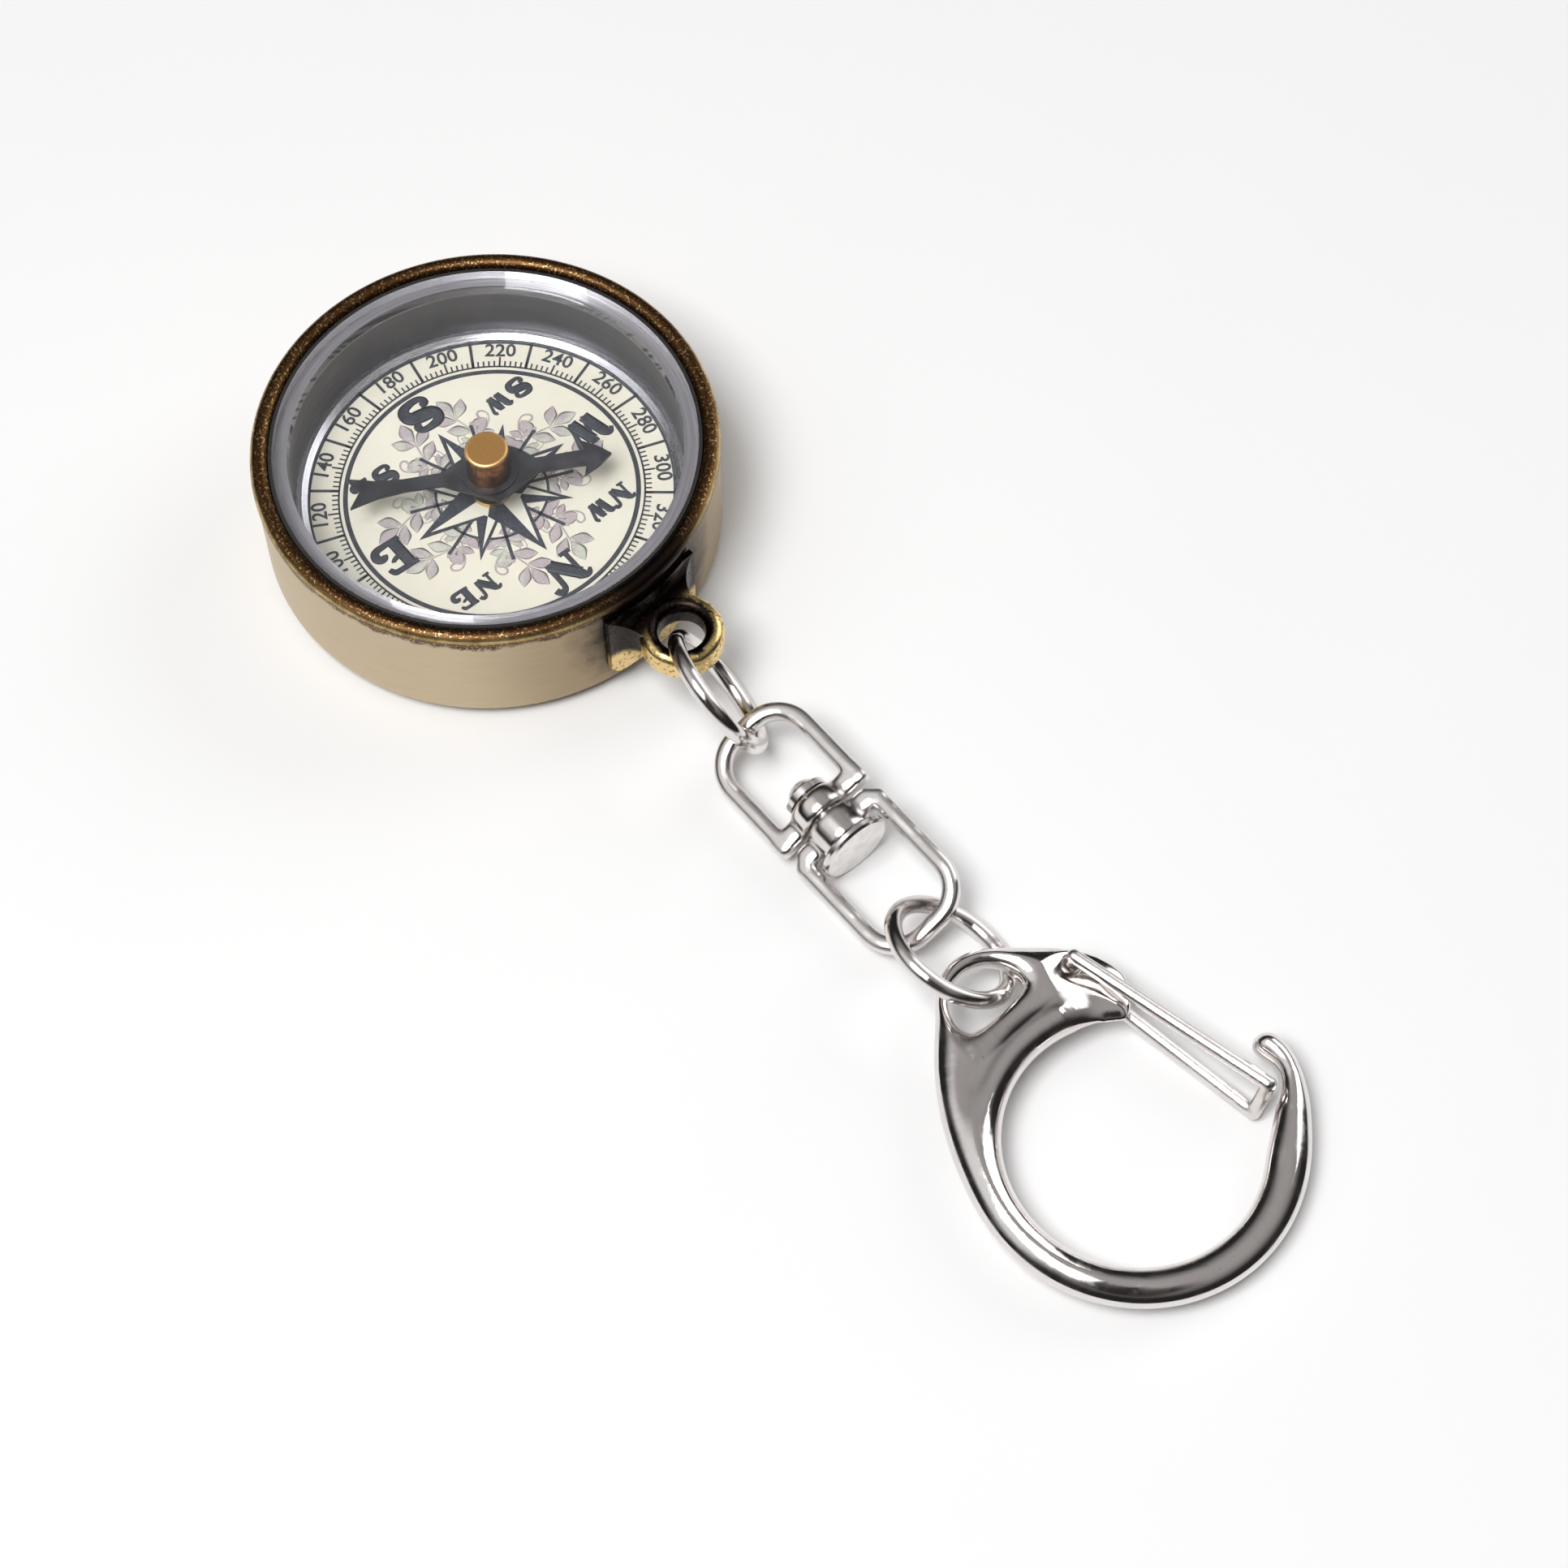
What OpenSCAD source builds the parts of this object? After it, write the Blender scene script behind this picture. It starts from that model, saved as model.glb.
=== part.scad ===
// Pocket compass on a short key chain: a brass case with dial, needle and crystal,
// a cast lug, a wire ring, a riveted swivel, a second wire ring and a spring hook.
// Millimetres. The origin is the centre of the case's flat underside, +X runs from the
// case to its lug and +Z is up. The chain lies on the same surface as the case.

/* [Case] */
// Outer diameter of the case
case_d = 40; // [36:0.5:46]
// Height of the case, underside to rim
case_h = 12.5; // [12.2:0.1:16]
// Thickness of the side wall
case_wall = 1.4; // [1:0.1:1.8]
// Thickness of the floor
case_floor = 1.8; // [1.2:0.1:2]
// Rounding of the edge round the underside
case_corner = 1.8; // [0.8:0.1:2.4]
// Diameter of the rolled edge round the rim
rim_roll_d = 1.55; // [1.4:0.05:1.8]

/* [Lug] */
// Distance from the case's wall to the centre of the eyelet
lug_reach = 3.5; // [3.3:0.1:4.5]
// Height of the eyelet's middle above the underside
lug_z = 7; // [6.4:0.1:7.6]
// Radius of the eyelet's hole at its waist
lug_hole_r = 2; // [1.8:0.05:2.2]
// Width of the metal round the hole
lug_bar_w = 1.65; // [1.3:0.05:1.8]
// Height of the eyelet
lug_bar_h = 2.8; // [2.2:0.1:3]
// Width of the curved foot brazed to the case
lug_foot_w = 9.5; // [8:0.5:12]
// Distance of the curved foot from the rim's roll
lug_foot_margin = 0.3; // [0.1:0.05:0.8]
// Thickness of the curved foot
lug_foot_t = 0.35; // [0.2:0.05:0.6]
// Radius of the flare from the eyelet to the foot
lug_flare_r = 2.2; // [1.6:0.1:2.3]

/* [Capsule] */
// Thickness of the glue pad under the capsule
pad_t = 0.8; // [0.4:0.1:1.2]
// Diameter of the glue pad
pad_d = 30; // [20:1:34]
// Wall of the capsule's metal cup
cup_wall = 1.45; // [1:0.05:1.8]
// Floor of the capsule's metal cup
cup_floor = 1.2; // [0.8:0.1:1.4]
// Thickness of the printed dial card
card_t = 0.4; // [0.2:0.05:0.6]
// Width of the bright ring that holds the card down
dial_ring_w = 0.95; // [0.6:0.05:1.4]
// Height of the bright ring
dial_ring_h = 0.7; // [0.4:0.05:1]
// Thickness of the crystal's flat top
crystal_t = 0.8; // [0.6:0.05:1]
// Width of the crystal's skirt
skirt_w = 1.25; // [0.9:0.05:1.6]
// Height of the crystal's skirt
skirt_h = 1; // [0.6:0.1:1.6]
// Depth of the crystal's face below the rim
crystal_recess = 0.5; // [0.3:0.05:0.8]
// Thickness of the seal round the crystal
seal_t = 0.3; // [0.2:0.05:0.4]

/* [Needle] */
// Direction in which the needle points at rest, in degrees
needle_angle = 54.5; // [0:0.5:359.5]
// Length of the needle from its pivot to the point
needle_point = 10.7; // [9:0.1:12]
// Length of the needle from its pivot to the tail's tips
needle_tail = 12.3; // [10:0.1:13]
// Width of the needle's arms beside the cap
needle_w = 1.6; // [1.2:0.1:2]
// Thickness of the needle
needle_t = 0.3; // [0.2:0.05:0.4]
// Diameter of the needle's cap
cap_d = 3.8; // [3:0.1:4.4]
// Height of the needle above the card
needle_lift = 2.8; // [2:0.1:3]
// Diameter of the pivot pin
pin_d = 0.9; // [0.6:0.05:1]

/* [Rings] */
// Diameter of the wire of both rings
wire_d = 1.5; // [1.3:0.05:1.6]
// Radius of the first ring, measured to the middle of the wire
lug_ring_r = 5.6; // [5.3:0.05:5.8]
// Radius of the second ring, measured to the middle of the wire
hook_ring_r = 5.4; // [5.2:0.05:5.8]
// Width of the cut through each ring
ring_cut = 0.12; // [0.05:0.01:0.3]
// Slope of the first ring, down from the lug, in degrees
lug_ring_pitch = 16.5; // [14:0.5:19]
// Play between the first ring and the swivel
lug_ring_slack = 0.55; // [0.45:0.05:1]
// Play between the swivel and the second ring
hook_ring_slack = 0.7; // [0.6:0.05:1]
// Roll of the second ring about the chain, in degrees
hook_ring_roll = -37.5; // [-42:0.5:-35]

/* [Swivel] */
// Outer width of both swivel links
link_w = 9.9; // [9.4:0.1:11]
// Length of the swivel's first link
bow_len = 11.6; // [11:0.1:14]
// Length of the swivel's second link
loop_len = 13.5; // [12.5:0.1:15]
// Width of a link's strand
strand_w = 1.5; // [1.3:0.05:1.6]
// Thickness of a link's strand
strand_t = 1.6; // [1.4:0.05:1.8]
// Radius of a link's round corners, to the middle of the strand
link_corner = 3.3; // [2.8:0.1:3.8]
// Width of a link's cross bar, along the chain
bar_w = 2; // [1.6:0.1:2.4]
// Thickness of a link's cross bar
bar_t = 1.5; // [1.3:0.05:1.6]
// Diameter of the round boss on the cross bar
hub_d = 5; // [4.4:0.1:5.6]
// Length of the first link's boss
bow_hub_l = 2.3; // [2.2:0.1:2.6]
// Length of the second link's boss
loop_hub_l = 2.7; // [2.5:0.1:3.2]
// Diameter of the rivet's shank
rivet_d = 2.2; // [1.8:0.1:2.6]
// Diameter of the rivet's flat head
rivet_head_d = 6.6; // [6:0.1:6.7]
// Diameter of the rivet's stepped end
rivet_step_d = 3.9; // [3.6:0.1:4.2]
// Roll of the swivel about the chain, in degrees
swivel_roll = 22; // [12:1:26]

/* [Hook] */
// Inner radius of the hook's round opening
hook_in_r = 10.5; // [10.2:0.05:11]
// Width of the hook's round band
hook_band_w = 3.25; // [2.9:0.05:3.6]
// Thickness of the hook's round band
hook_band_t = 3.5; // [3.2:0.1:3.8]
// Length from the opening's centre to the end of the eye
eye_reach = 21.2; // [20.6:0.1:22]
// Length of the eye's hole, along the chain
eye_hole_l = 4.7; // [4.5:0.1:5.2]
// Width of the eye's hole, across the chain
eye_hole_w = 6.6; // [6.3:0.1:6.9]
// Thickness of the metal at the tip of the eye
eye_rim = 1.45; // [1.1:0.05:1.6]
// Thickness of the eye
eye_t = 2.7; // [2.4:0.05:2.8]
// Thickness of the hollow between the eye and the band
hollow_t = 2; // [1.6:0.1:2.2]
// Diameter of the gate's spring wire
gate_d = 1.2; // [1:0.05:1.3]
// Distance between the middles of the gate's two legs
gate_span = 2.9; // [2.7:0.05:3.1]

/* [Layout] */
// Turn of the whole chain about the lug, in degrees
chain_yaw = -6.85; // [-15:0.05:15]
// Slope of the hook, eye end up, in degrees
hook_pitch = 4.2; // [3.6:0.1:4.8]
// Turn of the hook in the second ring, in degrees
hook_yaw = 4.2; // [-4:0.1:6]
// Turn of the swivel about its first ring, in degrees
swivel_yaw = 1.3; // [-4:0.1:6]
// Slope of the swivel, down from its first ring, in degrees
swivel_pitch = 2; // [0:0.1:4]

/* [Hidden] */
$fn = 96;
// Overrun that serves every cut
over = 0.5;
// Clearance between pieces that are glued, pressed or brazed together
glue_gap = 0.02;
// Clearance of a piece that turns in or beside another
run_gap = 0.06;
// Clearance between loose pieces
loose_gap = 0.12;
// Height of the chain's lowest points above the surface
rest_gap = 0.04;

// Levels and radii of the case and the capsule
case_r = case_d / 2;
bore_r = case_r - case_wall;
rim_r = rim_roll_d / 2;
pad_z = case_floor + glue_gap;
cup_z = pad_z + pad_t + glue_gap;
card_z = cup_z + cup_floor + glue_gap;
face_z = card_z + card_t;
crystal_top = case_h - crystal_recess;
crystal_low = crystal_top - crystal_t;
skirt_low = crystal_low - skirt_h;
cup_fit = 0.15;
cup_r = bore_r - cup_fit;
cup_in_r = cup_r - cup_wall;
crystal_r = bore_r - seal_t - 2 * glue_gap;
card_r = cup_in_r - glue_gap;

// Needle, as shares of its point's reach, its tail's reach and its width; cap, jewel and pin
needle_z = face_z + needle_lift;
cap_z = needle_z + needle_t;
needle_half_shares = [
    [1, 0, 0], [0.9, 0, 0.6], [0.8, 0, 1], [0.755, 0, 1.16], [0.785, 0, 0.5],
    [0.39, 0, 0.45], [0.05, 0, 2.05], [0, -0.34, 0.42], [0, -0.6, 0.39], [0, -0.8, 0.55],
    [0, -0.9, 0.76], [0, -1, 0.98], [0, -0.92, 0]
];
cap_air = 0.35;
cap_top = crystal_low - cap_air;
cap_r = cap_d / 2;
cap_roof = 0.5;
cap_round = 0.25;
spigot_r = 1.15;
spigot_low = 0.25;
cap_bore_r = 0.8;
jewel_h = 1;
jewel_z = cap_top - cap_roof - glue_gap - jewel_h;
jewel_cup_h = 0.6;
jewel_cup_r = 0.5;
pin_r = pin_d / 2;
pin_cone_h = 0.9;
pin_tip_r = 0.04;
pin_tip_z = jewel_z + jewel_cup_h - run_gap;
boss_r = 0.88;
boss_head_r = 1.7;
boss_head_h = 0.55;

// Eyelet, neck and foot of the lug
lug_x = case_r + lug_reach;
bar_mid_r = lug_hole_r + lug_bar_w / 2;
neck_half_w = bar_mid_r;
foot_top = case_h - rim_roll_d - lug_foot_margin;
foot_low = case_corner + lug_foot_margin;
foot_round = 1.2;

// First ring: its near end lies in the eyelet, and it leans until its wire meets the surface
wire_r = wire_d / 2;
lug_ring_near = 0.25;
lug_ring_rise = 0.35;
lug_ring_near_z = lug_z + lug_ring_rise;
lug_ring_x = lug_ring_near + lug_ring_r * cos(lug_ring_pitch);
lug_ring_z = lug_ring_near_z - lug_ring_r * sin(lug_ring_pitch);
lug_ring_drop = (lug_ring_z - wire_r - rest_gap) / lug_ring_r;
lug_ring_roll = -asin(sqrt(pow(lug_ring_drop, 2) - pow(sin(lug_ring_pitch), 2))
    / cos(lug_ring_pitch));
lug_ring_y = -0.6;
lug_ring_yaw = -3;
lug_ring_cut_at = 205;
lug_ring_far = lug_ring_x + lug_ring_r * cos(lug_ring_pitch);

// Swivel: its first link hangs in the first ring, and the rivet's head meets the surface
strand_r = link_w / 2 - strand_w / 2;
link_gap = 0.3;
head_t = 0.75;
head_bevel = 0.2;
dome_h = 1.1;
dome_r = 1.6;
dome_step = 0.6;
foot_bevel = 1.3;
bow_hub_round = 0.9;
loop_hub_round = 0.15;
strand_round = 0.45;
bow_seat = wire_r + strand_w / 2 + lug_ring_slack;
bow_apex = lug_ring_far - bow_seat * cos(lug_ring_pitch);
swivel_mid = bow_len - strand_w / 2 + link_gap / 2;
loop_apex_run = link_gap / 2 + loop_len - strand_w / 2;
head_run = link_gap / 2 + loop_hub_l + head_t;
head_r = rivet_head_d / 2;
swivel_x = bow_apex + swivel_mid * cos(swivel_pitch);
swivel_y = -0.4;
swivel_z = head_r * cos(swivel_pitch) + head_run * sin(swivel_pitch) + rest_gap;
loop_apex = swivel_x + loop_apex_run * cos(swivel_pitch);

// Second ring: loose on the second link, its wire on the surface
hook_ring_pitch = 1.4;
hook_ring_y = -0.7;
hook_ring_cut_at = 75;
hook_ring_drop = sqrt(pow(sin(hook_ring_pitch), 2)
    + pow(cos(hook_ring_pitch) * sin(hook_ring_roll), 2));
hook_ring_near = loop_apex - wire_r - strand_w / 2 - hook_ring_slack;
hook_ring_x = hook_ring_near + hook_ring_r * cos(hook_ring_pitch);
hook_ring_z = wire_r + rest_gap + hook_ring_r * hook_ring_drop;
hook_ring_far = hook_ring_x + hook_ring_r * cos(hook_ring_pitch);

// Hook: the second ring's far wire lies in the eye, against the side towards the opening
band_r = hook_in_r + hook_band_w / 2;
hook_out_r = hook_in_r + hook_band_w;
eye_mid = eye_reach - eye_rim - eye_hole_l / 2;
eye_slack = 0.45;
hook_x = hook_ring_far + wire_r + eye_slack + eye_mid - eye_hole_l / 2;
hook_y = 0;
hook_z = hook_band_t / 2 * cos(hook_pitch) + band_r * sin(hook_pitch) + rest_gap;

// Outline of the hook round its opening: angle, share of the band's width, share of the way
// from the band's outer edge to the end of the eye
hook_outer_shares = [
    [92, 1.35, 0], [81, 1.5, 0], [71, 1.44, 0], [61, 1.32, 0], [51, 1.2, 0], [37, 1.13, 0],
    [24, 1.1, 0], [0, 1.08, 0], [-60, 1.03, 0], [-100, 1.03, 0], [-119, 1.08, 0.02],
    [-134, 1, 0.16], [-146, 1, 0.3], [-158, 1, 0.49], [-167, 1, 0.68], [-172, 1, 0.85],
    [-177, 1, 0.96], [-182, 1, 1], [-187, 1, 0.94], [-192, 1, 0.82], [-197, 1, 0.7],
    [-206, 1, 0.55], [-211, 1, 0.47], [-216, 1, 0.36], [-220, 1, 0.24], [-226, 1, 0.02]
];
// Inner edge under the nose: angle, share of the band's width
nose_inner_shares = [
    [92, 0.68], [84, 0.72], [78, 0.86], [73, 0.84], [66, 0.6], [58, 0.32], [50, 0.13],
    [43, 0.03], [36, 0], [-226, 0]
];
nose_end_angle = 89;
nose_cap_angle = 4.5;
shoulder_end_angle = -225;
shoulder_cap_angle = 3;
cap_steps = 6;
hook_step_angle = 3;
middle_from_angle = nose_end_angle - nose_cap_angle - hook_step_angle;
middle_to_angle = shoulder_end_angle + shoulder_cap_angle + hook_step_angle / 2;
section_n = 20;
blunt_share = 0.15;
edge_round = hook_band_w / 2;
bead_w = 1.3;
hollow_mid = 3;
hollow_end = 4.6;
web_from_share = 0.15;
shoulder_from_angle = -194;
shoulder_full_angle = -214;
shoulder_dish = 0.25;
eye_bevel = 0.5;
eye_corner_r = 0.8;

// Gate: both legs turn in one hole through the hook's shoulder
gate_r = gate_d / 2;
gate_pivot_angle = -207.4;
gate_pivot_share = 0.778;
gate_top_share = [0.39, 1.057];
gate_low_share = [0.419, 0.914];
gate_pivot = dir(gate_pivot_angle)
    * (hook_in_r + gate_pivot_share * (outer_edge(gate_pivot_angle) - hook_in_r));
gate_top_end = hook_in_r * gate_top_share;
gate_low_end = hook_in_r * gate_low_share;
gate_pin_gap = 0.1;
shoulder_t = gate_span - gate_d - 2 * loose_gap;
recess_margin = 0.4;
recess_open_angle = 13;
recess_back_angle = 30;
recess_steps = 8;
recess_share = 0.43;
recess_l = eye_reach * recess_share;

// Unit direction of an angle in the plane
function dir(a) = [cos(a), sin(a)];

// Points of an arc of n steps, from angle a to angle b
function arc(c, r, a, b, n) = [for (i = [0:n]) c + r * dir(a + (b - a) * i / n)];

// Smooth curve through a table's rows, whose first column falls
function row_of(t, rows) = max([for (i = [0:len(rows) - 2]) if (rows[i][0] >= t || i == 0) i]);
function slope(rows, i, c) = (rows[min(i + 1, len(rows) - 1)][c] - rows[max(i - 1, 0)][c])
    / (rows[min(i + 1, len(rows) - 1)][0] - rows[max(i - 1, 0)][0]);
function hermite(a, b, ma, mb, u) = (1 + 2 * u) * pow(1 - u, 2) * a + u * pow(1 - u, 2) * ma
    + u * u * (3 - 2 * u) * b + u * u * (u - 1) * mb;
function smooth(t, rows, c) =
    let (i = row_of(t, rows), run = rows[i + 1][0] - rows[i][0])
    hermite(rows[i][c], rows[i + 1][c], slope(rows, i, c) * run, slope(rows, i + 1, c) * run,
        (t - rows[i][0]) / run);

// Hook: edges and half thickness at an angle round the opening
function inner_edge(t) = hook_in_r + hook_band_w * smooth(t, nose_inner_shares, 1);
function outer_edge(t) = hook_in_r + hook_band_w * smooth(t, hook_outer_shares, 1)
    + (eye_reach - hook_out_r) * smooth(t, hook_outer_shares, 2);
function end_share(t) = min(
    sqrt(max(0, 1 - pow(max(0, 1 - (nose_end_angle - t) / nose_cap_angle), 2))),
    sqrt(max(0, 1 - pow(max(0, 1 - (t - shoulder_end_angle) / shoulder_cap_angle), 2))));
function rounding(d, e) = d >= e ? 1 : sqrt(max(0, 1 - pow(1 - d / e, 2)));
function ease(u) = let (v = min(1, max(0, u))) v * v * (3 - 2 * v);
function web_share(w) = ease((w - hook_band_w) / hook_band_w - web_from_share);
function shoulder_share(t) =
    ease((shoulder_from_angle - t) / (shoulder_from_angle - shoulder_full_angle));
function shoulder_half(d) = shoulder_t / 2 - shoulder_dish * ease((d - bead_w) / bead_w);
function web_half(d) = hollow_t / 2
    + (hook_band_t - hollow_t) / 2 * ease((hollow_mid - d) / (hollow_mid - bead_w))
    + (eye_t - hollow_t) / 2 * ease((d - hollow_mid) / (hollow_end - hollow_mid));
function half_t(t, d, w) =
    let (e = min(edge_round, w / 2), k = web_share(w), s = shoulder_share(t),
        thick = (1 - k) * hook_band_t / 2 + k * web_half(d))
    ((1 - s) * thick + s * shoulder_half(d)) * rounding(d, e) * rounding(w - d, e);

// Angles of the sections, closer together at both rounded ends
hook_stations = concat(
    [for (i = [0:cap_steps]) nose_end_angle - nose_cap_angle * (1 - cos(90 * i / cap_steps))],
    [for (t = [middle_from_angle:-hook_step_angle:middle_to_angle]) t],
    [for (i = [cap_steps:-1:0])
        shoulder_end_angle + shoulder_cap_angle * (1 - cos(90 * i / cap_steps))]);

// One closed section of the hook, over from the inner to the outer edge and back below
function section(t) =
    let (a = inner_edge(t), w = outer_edge(t) - a, m = a + w / 2,
        k = max(blunt_share, end_share(t)), n = section_n - 1,
        f = [for (i = [0:n]) (1 - cos(180 * i / n)) / 2],
        over_side = [for (i = [0:n]) [a + w * f[i], half_t(t, w * f[i], w)]],
        under_side = [for (i = [n - 1:-1:1]) [a + w * f[i], -half_t(t, w * f[i], w)]])
    [for (q = concat(over_side, under_side))
        [(m + (q[0] - m) * k) * cos(t), (m + (q[0] - m) * k) * sin(t), q[1] * k]];

// Solid through a row of sections that have the same count of points
module loft(rows) {
    m = len(rows[0]);
    n = len(rows);
    polyhedron(
        points = [for (row = rows) each row],
        faces = concat(
            [[for (j = [m - 1:-1:0]) j]],
            [for (i = [0:n - 2]) for (j = [0:m - 1]) each [
                [i * m + j, i * m + (j + 1) % m, (i + 1) * m + j],
                [i * m + (j + 1) % m, (i + 1) * m + (j + 1) % m, (i + 1) * m + j]]],
            [[for (j = [0:m - 1]) (n - 1) * m + j]]),
        convexity = 8);
}

// Case: one revolved shell with a rounded foot and a rolled rim
module case() {
    outline = concat(
        [[0, 0]],
        arc([case_r - case_corner, case_corner], case_corner, -90, 0, 12),
        [[case_r, case_h - rim_r], [bore_r, case_h - rim_r], [bore_r, case_floor],
            [0, case_floor]]);
    color("darkgoldenrod")
        rotate_extrude()
            union() {
                polygon(outline);
                translate([bore_r + rim_r, case_h - rim_r]) circle(r = rim_r);
            }
}

// Lug: an eyelet on a flared neck, with a curved foot brazed to the case
module lug() {
    color("goldenrod")
        difference() {
            union() {
                translate([lug_x, 0, lug_z]) rotate_extrude() eyelet_section();
                difference() {
                    union() {
                        lug_neck();
                        lug_foot();
                    }
                    translate([lug_x, 0, lug_z - case_h / 2]) cylinder(r = bar_mid_r, h = case_h);
                }
            }
            translate([0, 0, -over]) cylinder(r = case_r + glue_gap, h = case_h + 2 * over);
        }
}

module eyelet_section() {
    r = lug_bar_w / 2;
    for (z = [-1, 1]) translate([bar_mid_r, z * (lug_bar_h / 2 - r)]) circle(r = r);
    translate([bar_mid_r - r, r - lug_bar_h / 2]) square([lug_bar_w, lug_bar_h - lug_bar_w]);
}

// Neck: flared towards the case both upwards and sideways
module lug_neck() {
    intersection() {
        translate([case_r, case_r, lug_z])
            rotate([90, 0, 0]) linear_extrude(2 * case_r) flare(lug_bar_h / 2);
        translate([case_r, 0, 0]) linear_extrude(case_h) flare(neck_half_w);
    }
}

// Strip along X with a half width, flared in a quarter circle to both sides at X = 0
module flare(half) {
    reach = lug_x - case_r;
    wide = half + lug_flare_r;
    difference() {
        translate([-over, -wide]) square([reach + over, 2 * wide]);
        for (side = [-1, 1]) {
            translate([lug_flare_r, side * wide]) circle(r = lug_flare_r);
            translate([lug_flare_r, side * wide - lug_flare_r])
                square([reach, 2 * lug_flare_r]);
        }
    }
}

module lug_foot() {
    h = foot_top - foot_low;
    intersection() {
        cylinder(r = case_r + glue_gap + lug_foot_t, h = case_h);
        translate([case_r - lug_foot_w / 2, 0, (foot_top + foot_low) / 2])
            rotate([90, 0, 90])
                linear_extrude(lug_foot_w)
                    round_rect(lug_foot_w, h, foot_round);
    }
}

// Rectangle round its centre with round corners
module round_rect(w, h, r) {
    square([w - 2 * r, h], center = true);
    square([w, h - 2 * r], center = true);
    for (x = [-1, 1])
        for (y = [-1, 1]) translate([x * (w / 2 - r), y * (h / 2 - r)]) circle(r = r);
}

// Glue pad between the case's floor and the capsule
module glue_pad() {
    color("ivory") translate([0, 0, pad_z]) cylinder(d = pad_d, h = pad_t);
}

// Metal cup of the capsule, which holds the card
module capsule_cup() {
    color("dimgray")
        translate([0, 0, cup_z])
            difference() {
                cylinder(r = cup_r, h = skirt_low - glue_gap - cup_z);
                translate([0, 0, cup_floor]) cylinder(r = cup_in_r, h = case_h);
                translate([0, 0, -over]) cylinder(r = pin_r + glue_gap, h = case_h);
            }
}

// Printed card of the dial
module dial_card() {
    color("white")
        translate([0, 0, card_z])
            difference() {
                cylinder(r = card_r, h = card_t);
                translate([0, 0, -over]) cylinder(r = boss_r + glue_gap, h = case_h);
            }
}

// Bright ring that holds the card down, bevelled towards the dial
module dial_ring() {
    color("silver")
        translate([0, 0, face_z + glue_gap])
            rotate_extrude()
                polygon([
                    [card_r - dial_ring_w, 0], [card_r, 0], [card_r, dial_ring_h],
                    [card_r - dial_ring_w / 2, dial_ring_h],
                    [card_r - dial_ring_w, dial_ring_h / 2]]);
}

// Flanged bush in the card's middle that grips the pivot pin
module pivot_boss() {
    color("khaki")
        difference() {
            union() {
                translate([0, 0, card_z]) cylinder(r = boss_r, h = card_t + boss_head_h);
                translate([0, 0, face_z + glue_gap])
                    cylinder(r = boss_head_r, h = boss_head_h - glue_gap);
            }
            translate([0, 0, card_z - over]) cylinder(r = pin_r + glue_gap, h = case_h);
        }
}

// Hard pin with a fine point, on which the jewel rides
module pivot_pin() {
    color("lightsteelblue") {
        translate([0, 0, cup_z])
            cylinder(r = pin_r, h = pin_tip_z - pin_cone_h - cup_z);
        translate([0, 0, pin_tip_z - pin_cone_h])
            cylinder(r1 = pin_r, r2 = pin_tip_r, h = pin_cone_h);
    }
}

// Needle: an arrow with a notched tail and a lozenge round the cap
function needle_point_at(q, side) =
    [q[0] * needle_point + q[1] * needle_tail, side * q[2] * needle_w];

module needle() {
    n = len(needle_half_shares);
    outline = concat(
        [for (q = needle_half_shares) needle_point_at(q, 1)],
        [for (i = [n - 2:-1:1]) needle_point_at(needle_half_shares[i], -1)]);
    color("black")
        rotate([0, 0, needle_angle])
            translate([0, 0, needle_z])
                difference() {
                    union() {
                        linear_extrude(needle_t) polygon(outline);
                        cylinder(r = cap_r + needle_t * 2, h = needle_t * 2);
                    }
                    translate([0, 0, -over]) cylinder(r = spigot_r + glue_gap, h = case_h);
                    translate([0, 0, needle_t]) cylinder(r = cap_r + glue_gap, h = case_h);
                }
}

// Turned cap of the needle, hollow from below, riveted over the needle's hole
module needle_cap() {
    h = cap_top - cap_z - glue_gap;
    outline = concat(
        [[cap_bore_r, needle_z - cap_z - spigot_low], [spigot_r, needle_z - cap_z - spigot_low],
            [spigot_r, 0], [cap_r, 0]],
        arc([cap_r - cap_round, h - cap_round], cap_round, 0, 90, 6),
        [[0, h], [0, h - cap_roof], [cap_bore_r, h - cap_roof]]);
    color("peru")
        rotate([0, 0, needle_angle])
            translate([0, 0, cap_z + glue_gap]) rotate_extrude() polygon(outline);
}

// Jewel bearing: a hard disc with a conical cup over the pin's point
module jewel_bearing() {
    color("firebrick")
        translate([0, 0, jewel_z])
            difference() {
                cylinder(r = cap_bore_r - glue_gap, h = jewel_h);
                cylinder(r1 = jewel_cup_r, r2 = 0, h = jewel_cup_h);
            }
}

// Crystal: a clear disc with a short skirt that stands on the cup
module crystal() {
    color("lavender", 0.35)
        difference() {
            translate([0, 0, skirt_low]) cylinder(r = crystal_r, h = crystal_top - skirt_low);
            translate([0, 0, skirt_low - over])
                cylinder(r = crystal_r - skirt_w, h = skirt_h + over);
        }
}

// Seal between the crystal and the case
module crystal_seal() {
    color("black")
        translate([0, 0, skirt_low])
            difference() {
                cylinder(r = bore_r - glue_gap, h = crystal_top - skirt_low);
                translate([0, 0, -over]) cylinder(r = bore_r - glue_gap - seal_t, h = case_h);
            }
}

// The chain starts at the lug and runs along X in its own frame
module in_chain() {
    translate([lug_x, 0, 0]) rotate([0, 0, chain_yaw]) children();
}

// Ring of round wire, cut through once at an angle
module wire_ring(r, cut_at) {
    difference() {
        rotate_extrude() translate([r, 0]) circle(r = wire_r);
        rotate([0, 0, cut_at])
            translate([r - 2 * wire_r, -ring_cut / 2, -2 * wire_r])
                cube([4 * wire_r, ring_cut, 4 * wire_r]);
    }
}

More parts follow.
